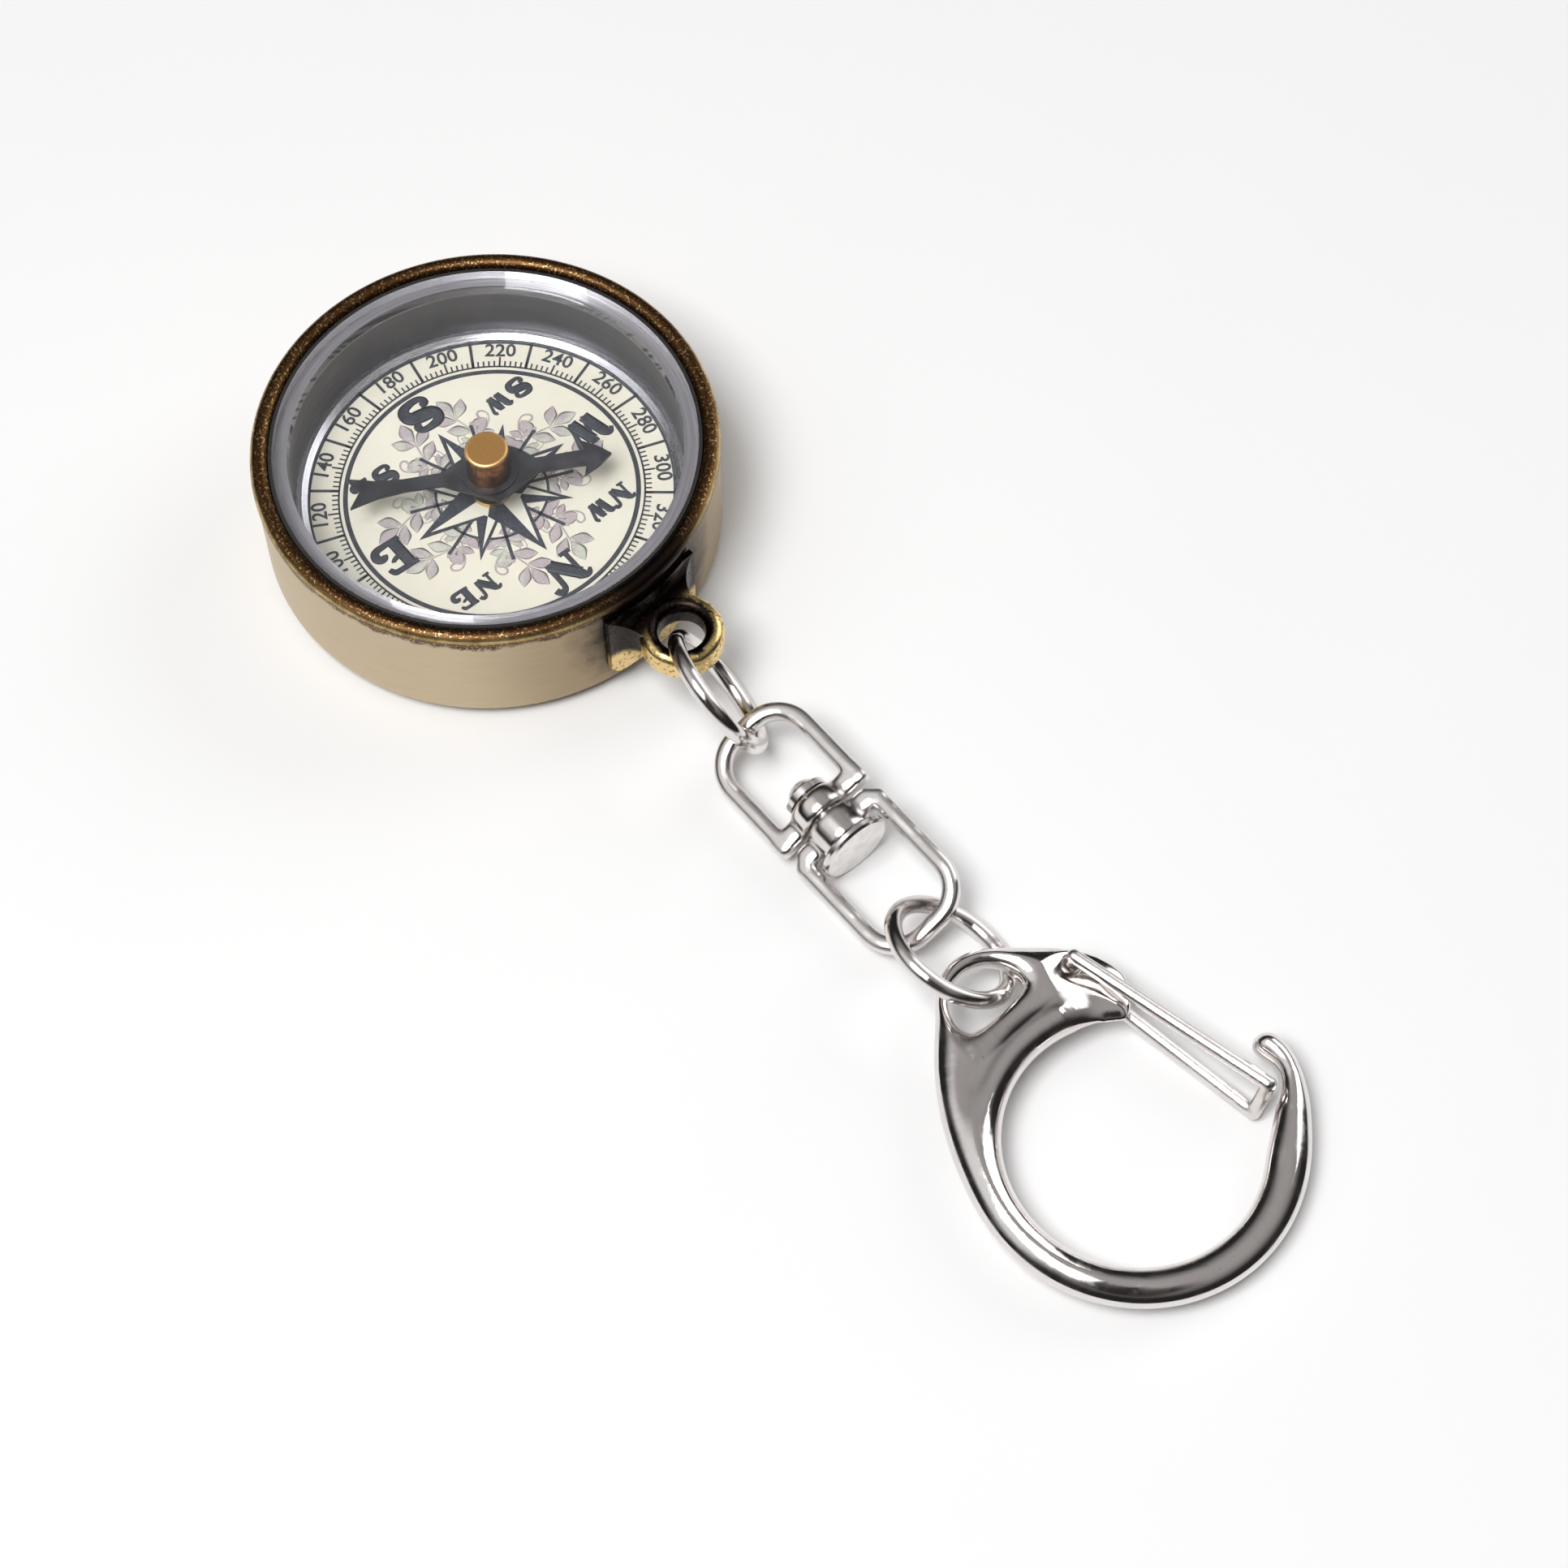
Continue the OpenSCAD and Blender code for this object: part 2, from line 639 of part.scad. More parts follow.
module lug_ring() {
    color("silver")
        in_chain()
            translate([lug_ring_x, lug_ring_y, lug_ring_z])
                rotate([lug_ring_roll, lug_ring_pitch, lug_ring_yaw])
                    wire_ring(lug_ring_r, lug_ring_cut_at);
}

module hook_ring() {
    color("silver")
        in_chain()
            translate([hook_ring_x, hook_ring_y, hook_ring_z])
                rotate([hook_ring_roll, hook_ring_pitch, 0])
                    wire_ring(hook_ring_r, hook_ring_cut_at);
}

// The swivel's frame has its origin between the links, X along the rivet
module in_swivel() {
    in_chain()
        translate([swivel_x, swivel_y, swivel_z])
            rotate([swivel_roll, swivel_pitch, swivel_yaw]) children();
}

module strand_section() {
    round_rect(strand_w, strand_t, strand_round);
}

// Link with its cross bar at X = 0 and its round end at X = length
module link(length, bevel, hub_l, hub_round) {
    bend_x = length - strand_w / 2 - link_corner;
    inner_y = strand_r - link_corner;
    for (side = [-1, 1])
        translate([bevel, side * strand_r, 0])
            rotate([90, 0, 90]) linear_extrude(bend_x - bevel) strand_section();
    for (side = [0, 1])
        mirror([0, side, 0])
            translate([bend_x, inner_y, 0])
                rotate_extrude(angle = 90) translate([link_corner, 0]) strand_section();
    translate([length - strand_w / 2, inner_y, 0])
        rotate([90, 0, 0]) linear_extrude(2 * inner_y) strand_section();
    intersection() {
        translate([bar_w / 2, link_w / 2, 0])
            rotate([90, 0, 0]) linear_extrude(link_w) round_rect(bar_w, bar_t, strand_round);
        translate([0, 0, -strand_t / 2])
            linear_extrude(strand_t)
                polygon([
                    [0, bevel - link_w / 2], [bevel, -link_w / 2], [bar_w, -link_w / 2],
                    [bar_w, link_w / 2], [bevel, link_w / 2], [0, link_w / 2 - bevel]]);
    }
    rotate([0, 90, 0])
        rotate_extrude()
            polygon(concat(
                [[0, 0], [hub_d / 2, 0]],
                arc([hub_d / 2 - hub_round, hub_l - hub_round], hub_round, 0, 90, 8),
                [[0, hub_l]]));
}

module swivel_bow() {
    color("silver")
        in_swivel()
            difference() {
                translate([-link_gap / 2, 0, 0])
                    mirror([1, 0, 0]) link(bow_len, 0, bow_hub_l, bow_hub_round);
                rotate([0, -90, 0]) cylinder(r = rivet_d / 2 + run_gap, h = bow_hub_l + hub_d);
            }
}

module swivel_loop() {
    color("silver")
        in_swivel()
            difference() {
                translate([link_gap / 2, 0, 0])
                    link(loop_len, foot_bevel, loop_hub_l, loop_hub_round);
                rotate([0, 90, 0]) cylinder(r = rivet_d / 2 + glue_gap, h = loop_hub_l + hub_d);
            }
}

// Rivet: a flat bevelled head on the second link, a stepped and domed end on the first
module swivel_rivet() {
    head_low = link_gap / 2 + loop_hub_l;
    step_low = link_gap / 2 + bow_hub_l + run_gap;
    dome_low = step_low + dome_step;
    ball_r = (dome_r * dome_r + dome_h * dome_h) / (2 * dome_h);
    color("silver")
        in_swivel() {
            rotate([0, 90, 0]) {
                translate([0, 0, -step_low])
                    cylinder(d = rivet_d, h = step_low + head_low + head_t / 2);
                translate([0, 0, head_low + glue_gap]) rotate_extrude() polygon([
                    [0, 0], [head_r - head_bevel, 0], [head_r, head_bevel],
                    [head_r, head_t - head_bevel], [head_r - head_bevel, head_t], [0, head_t]]);
            }
            rotate([0, -90, 0]) {
                translate([0, 0, step_low]) cylinder(d = rivet_step_d, h = dome_step);
                intersection() {
                    translate([0, 0, dome_low + dome_h - ball_r]) sphere(r = ball_r);
                    translate([0, 0, dome_low - dome_step / 2])
                        cylinder(r = dome_r, h = dome_h + dome_step);
                }
            }
        }
}

// The hook's frame has its origin in the middle of the round opening, the eye along -X
module in_hook() {
    in_chain()
        translate([hook_x, hook_y, hook_z]) rotate([0, hook_pitch, hook_yaw]) children();
}

// Hook: a round band that swells into an eye, thin at the shoulder where the gate turns
module hook_body() {
    color("silver")
        in_hook()
            difference() {
                loft([for (t = hook_stations) section(t)]);
                eye_hole();
                for (side = [0, 1])
                    mirror([0, 0, side]) translate([0, 0, shoulder_t / 2]) gate_recess();
                translate([gate_pivot[0], gate_pivot[1], -hook_band_t])
                    cylinder(r = gate_r + run_gap, h = 2 * hook_band_t);
            }
}

// Outline of the eye's hole, grown by a margin: round towards the ring, flatter behind
module eye_outline(grow) {
    r = eye_hole_w / 2;
    flat_r = 2 * eye_hole_w;
    end = eye_rim - eye_reach;
    offset(r = eye_corner_r + grow)
        offset(delta = -eye_corner_r)
            intersection() {
                translate([end + r, 0]) circle(r = r);
                translate([end + eye_hole_l - flat_r, 0]) circle(r = flat_r);
            }
}

// Hole of the eye with bevelled edges on both faces
module eye_hole() {
    translate([0, 0, -hook_band_t]) linear_extrude(2 * hook_band_t) eye_outline(0);
    for (side = [0, 1])
        mirror([0, 0, side])
            hull() {
                translate([0, 0, eye_t / 2 - eye_bevel]) linear_extrude(run_gap) eye_outline(0);
                translate([0, 0, eye_t / 2 + eye_bevel])
                    linear_extrude(run_gap) eye_outline(2 * eye_bevel);
            }
}

// Room for one leg of the gate from its closed to its open place
module gate_recess() {
    r = gate_r + recess_margin;
    translate([gate_pivot[0], gate_pivot[1], 0])
        linear_extrude(hook_band_t) {
            circle(r = r);
            for (a = [-recess_open_angle, recess_back_angle])
                rotate([0, 0, a]) translate([0, -r]) square([recess_l, 2 * r]);
            polygon(concat(
                [[0, 0]], arc([0, 0], recess_l, -recess_open_angle, recess_back_angle, recess_steps)));
        }
}

// Gate: one bent spring wire with a leg above and a leg below the hook
module gate_wire() {
    top = [gate_top_end[0], gate_top_end[1], gate_span / 2];
    low = [gate_low_end[0], gate_low_end[1], -gate_span / 2];
    top_pivot = [gate_pivot[0], gate_pivot[1], gate_span / 2];
    low_pivot = [gate_pivot[0], gate_pivot[1], -gate_span / 2];
    color("gainsboro")
        in_hook() {
            wire(top_pivot, top);
            wire(top, low);
            wire(low, low_pivot);
            wire(top_pivot, [gate_pivot[0], gate_pivot[1], gate_pin_gap]);
            wire(low_pivot, [gate_pivot[0], gate_pivot[1], -gate_pin_gap]);
            for (q = [top, low, top_pivot, low_pivot])
                translate(q) sphere(r = gate_r + glue_gap);
        }
}

// Straight round wire between two points
module wire(a, b) {
    v = b - a;
    translate(a)
        rotate([0, acos(v[2] / norm(v)), atan2(v[1], v[0])]) cylinder(r = gate_r, h = norm(v));
}

case();
lug();
glue_pad();
capsule_cup();
dial_card();
dial_ring();
pivot_boss();
pivot_pin();
needle();
needle_cap();
jewel_bearing();
crystal();
crystal_seal();
lug_ring();
swivel_bow();
swivel_loop();
swivel_rivet();
hook_ring();
hook_body();
gate_wire();
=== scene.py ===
from math import cos, pi, radians, sin

import bmesh
import bpy
from bpy.props import FloatProperty, FloatVectorProperty, IntProperty, PointerProperty
from bpy.types import Operator, Panel, PropertyGroup
from mathutils import Matrix, Quaternion, Vector
from mathutils.kdtree import KDTree


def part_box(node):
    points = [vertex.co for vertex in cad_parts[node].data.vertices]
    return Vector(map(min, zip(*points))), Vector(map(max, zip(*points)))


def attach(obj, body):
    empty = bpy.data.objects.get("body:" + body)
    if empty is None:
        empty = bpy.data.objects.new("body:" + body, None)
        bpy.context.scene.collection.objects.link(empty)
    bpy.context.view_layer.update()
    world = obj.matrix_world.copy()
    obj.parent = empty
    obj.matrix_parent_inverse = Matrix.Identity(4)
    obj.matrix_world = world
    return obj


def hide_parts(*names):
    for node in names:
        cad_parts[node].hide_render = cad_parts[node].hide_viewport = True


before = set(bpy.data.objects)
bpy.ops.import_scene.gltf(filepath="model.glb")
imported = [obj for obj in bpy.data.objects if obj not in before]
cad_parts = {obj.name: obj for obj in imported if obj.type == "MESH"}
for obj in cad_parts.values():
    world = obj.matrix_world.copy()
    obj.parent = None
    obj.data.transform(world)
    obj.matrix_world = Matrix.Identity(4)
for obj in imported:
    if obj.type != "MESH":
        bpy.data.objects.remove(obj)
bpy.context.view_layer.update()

bl_info = {
    "name": "Pocket Compass Finish",
    "version": (1, 0, 0),
    "blender": (4, 5, 0),
    "location": "View3D > Sidebar > Compass",
    "description": "Prints the dial, smooths the castings and finishes each part",
    "category": "Object",
}

MM = 0.001
FULL_TURN = 2 * pi
DIAL_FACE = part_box("dial_card")[1].z


# SIZES AND COLOURS

LENGTH = {"unit": "LENGTH", "precision": 6}
COLOUR = {"subtype": "COLOR", "min": 0, "max": 1}


class DialSizes(PropertyGroup):
    north: FloatProperty(
        name="North", description="Direction of the dial's north, seen from above",
        default=radians(-6.5), unit="ROTATION")
    ink_height: FloatProperty(
        name="Ink height", description="Thickness of a layer of print",
        default=0.012 * MM, **LENGTH)
    ring_radius: FloatProperty(
        name="Scale ring", description="Middle of the thick circle inside the scale",
        default=12.78 * MM, **LENGTH)
    ring_width: FloatProperty(
        name="Ring width", description="Width of the thick circle",
        default=0.42 * MM, **LENGTH)
    scale_radius: FloatProperty(
        name="Scale radius", description="Radius on which the ticks stand",
        default=13.35 * MM, **LENGTH)
    line_width: FloatProperty(
        name="Line width", description="Width of the fine lines",
        default=0.17 * MM, **LENGTH)
    tick_step: IntProperty(
        name="Tick step", description="Degrees from tick to tick", default=2, min=1, max=10)
    tick_length: FloatProperty(
        name="Tick length", description="Length of a short tick",
        default=0.6 * MM, **LENGTH)
    number_step: IntProperty(
        name="Number step", description="Degrees from number to number", default=20, min=10, max=45)
    number_radius: FloatProperty(
        name="Number radius", description="Radius of the middle of the numbers",
        default=15.03 * MM, **LENGTH)
    number_size: FloatProperty(
        name="Number size", description="Font size of the numbers",
        default=1.88 * MM, **LENGTH)
    edge_radius: FloatProperty(
        name="Edge radius", description="Radius of the scale's outer line",
        default=15.96 * MM, **LENGTH)
    letter_radius: FloatProperty(
        name="Letter radius", description="Radius of the middle of N, E, S and W",
        default=10.5 * MM, **LENGTH)
    letter_height: FloatProperty(
        name="Letter height", description="Height of N, E, S and W",
        default=2.95 * MM, **LENGTH)
    pair_radius: FloatProperty(
        name="Pair radius", description="Radius of the middle of NE, SE, SW and NW",
        default=10.35 * MM, **LENGTH)
    pair_height: FloatProperty(
        name="Pair height", description="Height of NE, SE, SW and NW",
        default=1.75 * MM, **LENGTH)
    star_radius: FloatProperty(
        name="Star radius", description="Tips of the star's four main points",
        default=7.9 * MM, **LENGTH)
    star_circle: FloatProperty(
        name="Star circle", description="Radius of the thin circle behind the star",
        default=4.9 * MM, **LENGTH)


class Finishes(PropertyGroup):
    paper: FloatVectorProperty(
        name="Paper", description="Colour of the dial's paper",
        default=(0.55, 0.535, 0.445), **COLOUR)
    ink: FloatVectorProperty(
        name="Ink", description="Colour of the scale, letters and star",
        default=(0.018, 0.022, 0.030), **COLOUR)
    leaf_ink: FloatVectorProperty(
        name="Leaf ink", description="Colour of the leaves behind the star",
        default=(0.30, 0.258, 0.262), **COLOUR)
    brass: FloatVectorProperty(
        name="Brass", description="Satin brass of the case's wall",
        default=(0.58, 0.48, 0.335), **COLOUR)
    worn_brass: FloatVectorProperty(
        name="Worn brass", description="Bright brass on worn edges",
        default=(0.82, 0.60, 0.27), **COLOUR)
    patina: FloatVectorProperty(
        name="Patina", description="Brown of the aged rim",
        default=(0.085, 0.040, 0.016), **COLOUR)
    # Painted shade: near black round the lug and in the lug's hollow next to the case
    soot: FloatVectorProperty(
        name="Painted lug shade", description="Near black painted shade round the lug",
        default=(0.016, 0.011, 0.009), **COLOUR)
    nickel: FloatVectorProperty(
        name="Nickel", description="Polished nickel of the chain and hook",
        default=(0.80, 0.765, 0.75), **COLOUR)
    copper: FloatVectorProperty(
        name="Copper", description="Turned metal of the needle's cap",
        default=(0.50, 0.275, 0.075), **COLOUR)
    cup: FloatVectorProperty(
        name="Cup", description="Dark metal inside the capsule",
        default=(0.055, 0.055, 0.058), **COLOUR)
    glass: FloatVectorProperty(
        name="Glass", description="Tint of the crystal",
        default=(0.985, 0.985, 1.0), **COLOUR)


class StageSizes(PropertyGroup):
    camera_place: FloatVectorProperty(
        name="Camera", description="Place of the camera", subtype="TRANSLATION",
        default=(0.148878, -0.112346, 0.279439), precision=6)
    camera_target: FloatVectorProperty(
        name="Target", description="Point in the middle of the picture", subtype="TRANSLATION",
        default=(0.0369, -0.00155, 0), precision=6)
    camera_roll: FloatProperty(
        name="Roll", description="Turn of the camera about its line of sight",
        default=radians(-1.31), unit="ROTATION")
    lens: FloatProperty(
        name="Lens", description="Focal length for a sensor 36 mm wide", default=87.0, min=10)
    floor_size: FloatProperty(
        name="Floor", description="Width of the floor", default=4.0, unit="LENGTH")
    floor_colour: FloatVectorProperty(
        name="Floor colour", description="Colour of the floor",
        default=(0.97, 0.97, 0.97), **COLOUR)


# NODE TREE HELPERS

def put(tree, kind, inputs=(), **settings):
    """Add a node with its settings, and give its inputs constants or links."""
    made = tree.nodes.new(kind)
    for name, value in settings.items():
        setattr(made, name, value)
    for name, value in dict(inputs).items():
        if isinstance(value, bpy.types.NodeSocket):
            tree.links.new(value, made.inputs[name])
        else:
            made.inputs[name].default_value = value
    return made


def calc(tree, operation, a, b=0.0, c=0.0, clamp=False):
    return put(tree, "ShaderNodeMath", {0: a, 1: b, 2: c}, operation=operation,
               use_clamp=clamp).outputs[0]


def times(tree, a, b):
    return calc(tree, "MULTIPLY", a, b)


def minus(tree, a, b):
    return calc(tree, "SUBTRACT", a, b)


def add_part(tree, value, share, base):
    return calc(tree, "MULTIPLY_ADD", value, share, base)


def step_between(tree, value, low, high, start=0.0, end=1.0):
    """Smooth step of a value from start at low to end at high."""
    return put(tree, "ShaderNodeMapRange",
               {"Value": value, "From Min": low, "From Max": high, "To Min": start, "To Max": end},
               interpolation_type="SMOOTHSTEP").outputs[0]


def between(tree, mask, start, end):
    """Value that goes from start to end as a mask goes from 0 to 1."""
    return step_between(tree, mask, 0.0, 1.0, start, end)


def blend(tree, factor, a, b):
    """Mix of two colours."""
    made = put(tree, "ShaderNodeMix", data_type="RGBA")
    for index, value in ((0, factor), (6, a), (7, b)):
        if isinstance(value, bpy.types.NodeSocket):
            tree.links.new(value, made.inputs[index])
        elif index:
            made.inputs[index].default_value = (*value[:3], 1)
        else:
            made.inputs[index].default_value = value
    return made.outputs[2]


def object_place(tree):
    return put(tree, "ShaderNodeTexCoord").outputs["Object"]


def object_xyz(tree):
    """Object coordinates and their three parts."""
    place = object_place(tree)
    parts = put(tree, "ShaderNodeSeparateXYZ", {0: place}).outputs
    return place, parts[0], parts[1], parts[2]


def radius_of(tree, x, y):
    return calc(tree, "SQRT", calc(tree, "ADD", times(tree, x, x), times(tree, y, y)))


def distance_to(tree, place, point):
    return put(tree, "ShaderNodeVectorMath", {0: place, 1: point}, operation="DISTANCE").outputs[1]


def noise(tree, place, size, detail=2.0, roughness=0.5):
    return put(tree, "ShaderNodeTexNoise", {"Vector": place, "Scale": size, "Detail": detail,
                                            "Roughness": roughness}).outputs[0]


def effect(name, sockets_in, sockets_out):
    """New shader node group with its named inputs and outputs."""
    group = bpy.data.node_groups.new(name, "ShaderNodeTree")
    for label, default in sockets_in:
        made = group.interface.new_socket(label, in_out="INPUT", socket_type="NodeSocketFloat")
        made.default_value = default
    for label in sockets_out:
        group.interface.new_socket(label, in_out="OUTPUT", socket_type="NodeSocketFloat")
    inlet = group.nodes.new("NodeGroupInput").outputs
    outlet = group.nodes.new("NodeGroupOutput").inputs
    return group, inlet, outlet


def mottle_group():
    """Soft blotches: a mask that covers the given share of the surface."""
    group, inlet, outlet = effect(
        "Mottle", (("Size", 500.0), ("Cover", 0.5), ("Softness", 0.1)), ("Mask",))
    clouds = noise(group, object_place(group), inlet["Size"], 6.0, 0.62)
    # Noise lies mostly between 0.25 and 0.75
    middle = add_part(group, minus(group, 1.0, inlet["Cover"]), 0.5, 0.25)
    low = minus(group, middle, inlet["Softness"])
    high = calc(group, "ADD", middle, inlet["Softness"])
    group.links.new(step_between(group, clouds, low, high), outlet["Mask"])
    return group


def speckle_group():
    """Fine specks, as of worn plating."""
    group, inlet, outlet = effect("Speckle", (("Size", 4000.0), ("Density", 0.3)), ("Mask",))
    grain = noise(group, object_place(group), inlet["Size"])
    # The noise hardly rises above 0.72, so a denser pattern starts lower
    low = minus(group, 0.72, times(group, inlet["Density"], 0.4))
    high = calc(group, "ADD", low, 0.07)
    group.links.new(step_between(group, grain, low, high), outlet["Mask"])
    return group


def turned_group():
    """Fine lines round the Z axis, left by turning or brushing on a lathe."""
    group, inlet, outlet = effect(
        "Turned lines", (("Lines", 9000.0), ("Along", 6.0)), ("Height", "Shade"))
    _place, x, y, z = object_xyz(group)
    turn = put(group, "ShaderNodeMath", {0: y, 1: x}, operation="ARCTAN2").outputs[0]
    reach = times(group, radius_of(group, x, y), inlet["Lines"])
    level = times(group, z, inlet["Lines"])
    along = times(group, calc(group, "SINE", turn), inlet["Along"])
    across = times(group, calc(group, "COSINE", turn), inlet["Along"])
    place = put(group, "ShaderNodeCombineXYZ", {0: reach, 1: level, 2: along}).outputs[0]
    lines = put(group, "ShaderNodeTexNoise",
                {"Vector": place, "W": across, "Scale": 1.0, "Detail": 3.0, "Roughness": 0.6},
                noise_dimensions="4D").outputs[0]
    group.links.new(lines, outlet["Height"])
    group.links.new(step_between(group, lines, 0.35, 0.65), outlet["Shade"])
    return group


def polish_group():
    """Hand-polished metal: slow waves, hairline marks and faint smears."""
    group, inlet, outlet = effect(
        "Polish", (("Wave size", 260.0), ("Mark size", 2600.0)), ("Height", "Smear"))
    place = object_place(group)
    waves = noise(group, place, inlet["Wave size"], 1.0)
    stretched = put(group, "ShaderNodeMapping", {"Vector": place, "Rotation": (0.4, 0.2, 0.9),
                                                 "Scale": (1.0, 0.06, 0.3)}).outputs[0]
    marks = noise(group, stretched, inlet["Mark size"], 4.0, 0.7)
    group.links.new(add_part(group, marks, 0.04, waves), outlet["Height"])
    smears = noise(group, place, inlet["Wave size"], 5.0, 0.65)
    group.links.new(step_between(group, smears, 0.42, 0.62), outlet["Smear"])
    return group


EFFECTS = {"Mottle": mottle_group, "Speckle": speckle_group, "Turned lines": turned_group,
           "Polish": polish_group}


def use(tree, name, **inputs):
    """Place a shared effect, which is made once, in a material and return its outputs."""
    made = tree.nodes.new("ShaderNodeGroup")
    made.node_tree = bpy.data.node_groups.get(name) or EFFECTS[name]()
    for label, value in inputs.items():
        made.inputs[label.replace("_", " ")].default_value = value
    return made.outputs


def bump(tree, height, distance, strength, normal=None):
    inputs = {"Height": height, "Distance": distance, "Strength": strength}
    if normal:
        inputs["Normal"] = normal
    return put(tree, "ShaderNodeBump", inputs).outputs[0]


def eased_edges(tree, radius):
    """Normal of a surface whose edges are rounded off to a radius."""
    return put(tree, "ShaderNodeBevel", {"Radius": radius}, samples=8).outputs[0]


def empty_tree(owner, output):
    """Node tree of a material or world with only its output, and that output's socket."""
    owner.use_nodes = True
    tree = owner.node_tree
    tree.nodes.clear()
    return tree, tree.nodes.new(output).inputs[0]


def material(name, build):
    """New material whose Principled inputs come from build(tree)."""
    made = bpy.data.materials.new(name)
    tree, out = empty_tree(made, "ShaderNodeOutputMaterial")
    tree.links.new(put(tree, "ShaderNodeBsdfPrincipled", build(tree)).outputs[0], out)
    return made


# MATERIALS

# Colours that a single finish uses beside those of the Finishes group
# Of the colours below, the darker tan is painted shade on the case's wall towards the lug
TAN_SHADE, PAINTED_SHADE_TAN, FINE_GOLD = (0.52, 0.41, 0.25), (0.20, 0.125, 0.06), (0.20, 0.105, 0.042)
DULL_GOLD = (0.34, 0.26, 0.10)
SMEARED_NICKEL, SMEARED_RIVET = (0.66, 0.60, 0.57), (0.62, 0.59, 0.58)
SMEARED_CASTING, CASTING_SPECK = (0.68, 0.63, 0.61), (0.45, 0.36, 0.32)
NEEDLE_PAINT, NEEDLE_WORN = (0.010, 0.011, 0.014), (0.026, 0.027, 0.031)
# The cap's side colours are painted shade with painted streaks of reflection, and its edge colour
# is a painted highlight
CAP_SIDE_SHADE, CAP_REFLECTION_STREAK = (0.36, 0.15, 0.045), (0.10, 0.038, 0.014)
CAP_LINES, CAP_EDGE_HIGHLIGHT = (0.42, 0.20, 0.045), (0.92, 0.56, 0.22)
# The cup's lighter colour is painted light on the upper wall
CUP_CLOUD, CUP_PAINTED_LIGHT = (0.10, 0.10, 0.11), (0.145, 0.145, 0.152)
# The pale rim colours are painted light: the bright ring seen through the crystal
PAINTED_PALE_RIM, PAINTED_PALE_RIM_LINES = (0.26, 0.254, 0.264), (0.18, 0.176, 0.184)
PAPER_CLOUD, PAPER_TOOTH = (0.52, 0.485, 0.37), (0.55, 0.52, 0.42)
GREEN_LEAF = (0.37, 0.385, 0.315)
SEAL_DARK, SEAL_TOOTH = (0.016, 0.014, 0.013), (0.05, 0.045, 0.04)

# Places on the case and lug that the painted shade round the lug and the lug's bright edge follow
LUG_FOOT = (20.5 * MM, 0.5 * MM, 8.0 * MM)
EYELET = (23.5 * MM, 0, 0)
SHOULDER_RADIUS, SHOULDER_HEIGHT = 19.87 * MM, 12.0 * MM

STRAND_ROUNDING = 0.85 * MM
CRYSTAL_IOR = 1.47


def metal(colour, rough, normal):
    return {"Base Color": colour, "Metallic": 1.0, "Roughness": rough, "Normal": normal}


def smeared_metal(tree, light, smeared, share, size, rough, height, edges=None):
    """Metal with faint smears and hairlines, of a wave size and a mark size."""
    marks = use(tree, "Polish", Wave_size=size[0], Mark_size=size[1])
    return metal(blend(tree, times(tree, marks["Smear"], share), light, smeared),
                 between(tree, marks["Smear"], *rough), bump(tree, marks["Height"], *height, edges))


def turned_metal(light, dark, lines, along, rough, depth, strength):
    """Finish of a lathe, with fine lines in a darker tone. Without light it is worn brass."""
    def build(tree, looks):
        marks = use(tree, "Turned lines", Lines=lines, Along=along)
        return metal(blend(tree, marks["Shade"], light or looks.worn_brass, dark),
                     between(tree, marks["Shade"], *rough),
                     bump(tree, marks["Height"], depth, strength))
    return build


def clouded(light, dark, size, rough, depth, strength, extra, weight):
    """Two tones in soft clouds, and one more input of the shader."""
    def build(tree, looks):
        cloud = use(tree, "Mottle", Size=size, Cover=0.5, Softness=0.2)["Mask"]
        return {"Base Color": blend(tree, cloud, light, dark), "Roughness": rough,
                extra: weight, "Normal": bump(tree, cloud, depth, strength)}
    return build


def card_stock(tree, colour, rough, tooth, depth):
    """Paper or print: rough, with the paper's tooth."""
    return {"Base Color": colour, "Roughness": rough, "Specular IOR Level": 0.35,
            "Normal": bump(tree, tooth, depth, 0.4)}


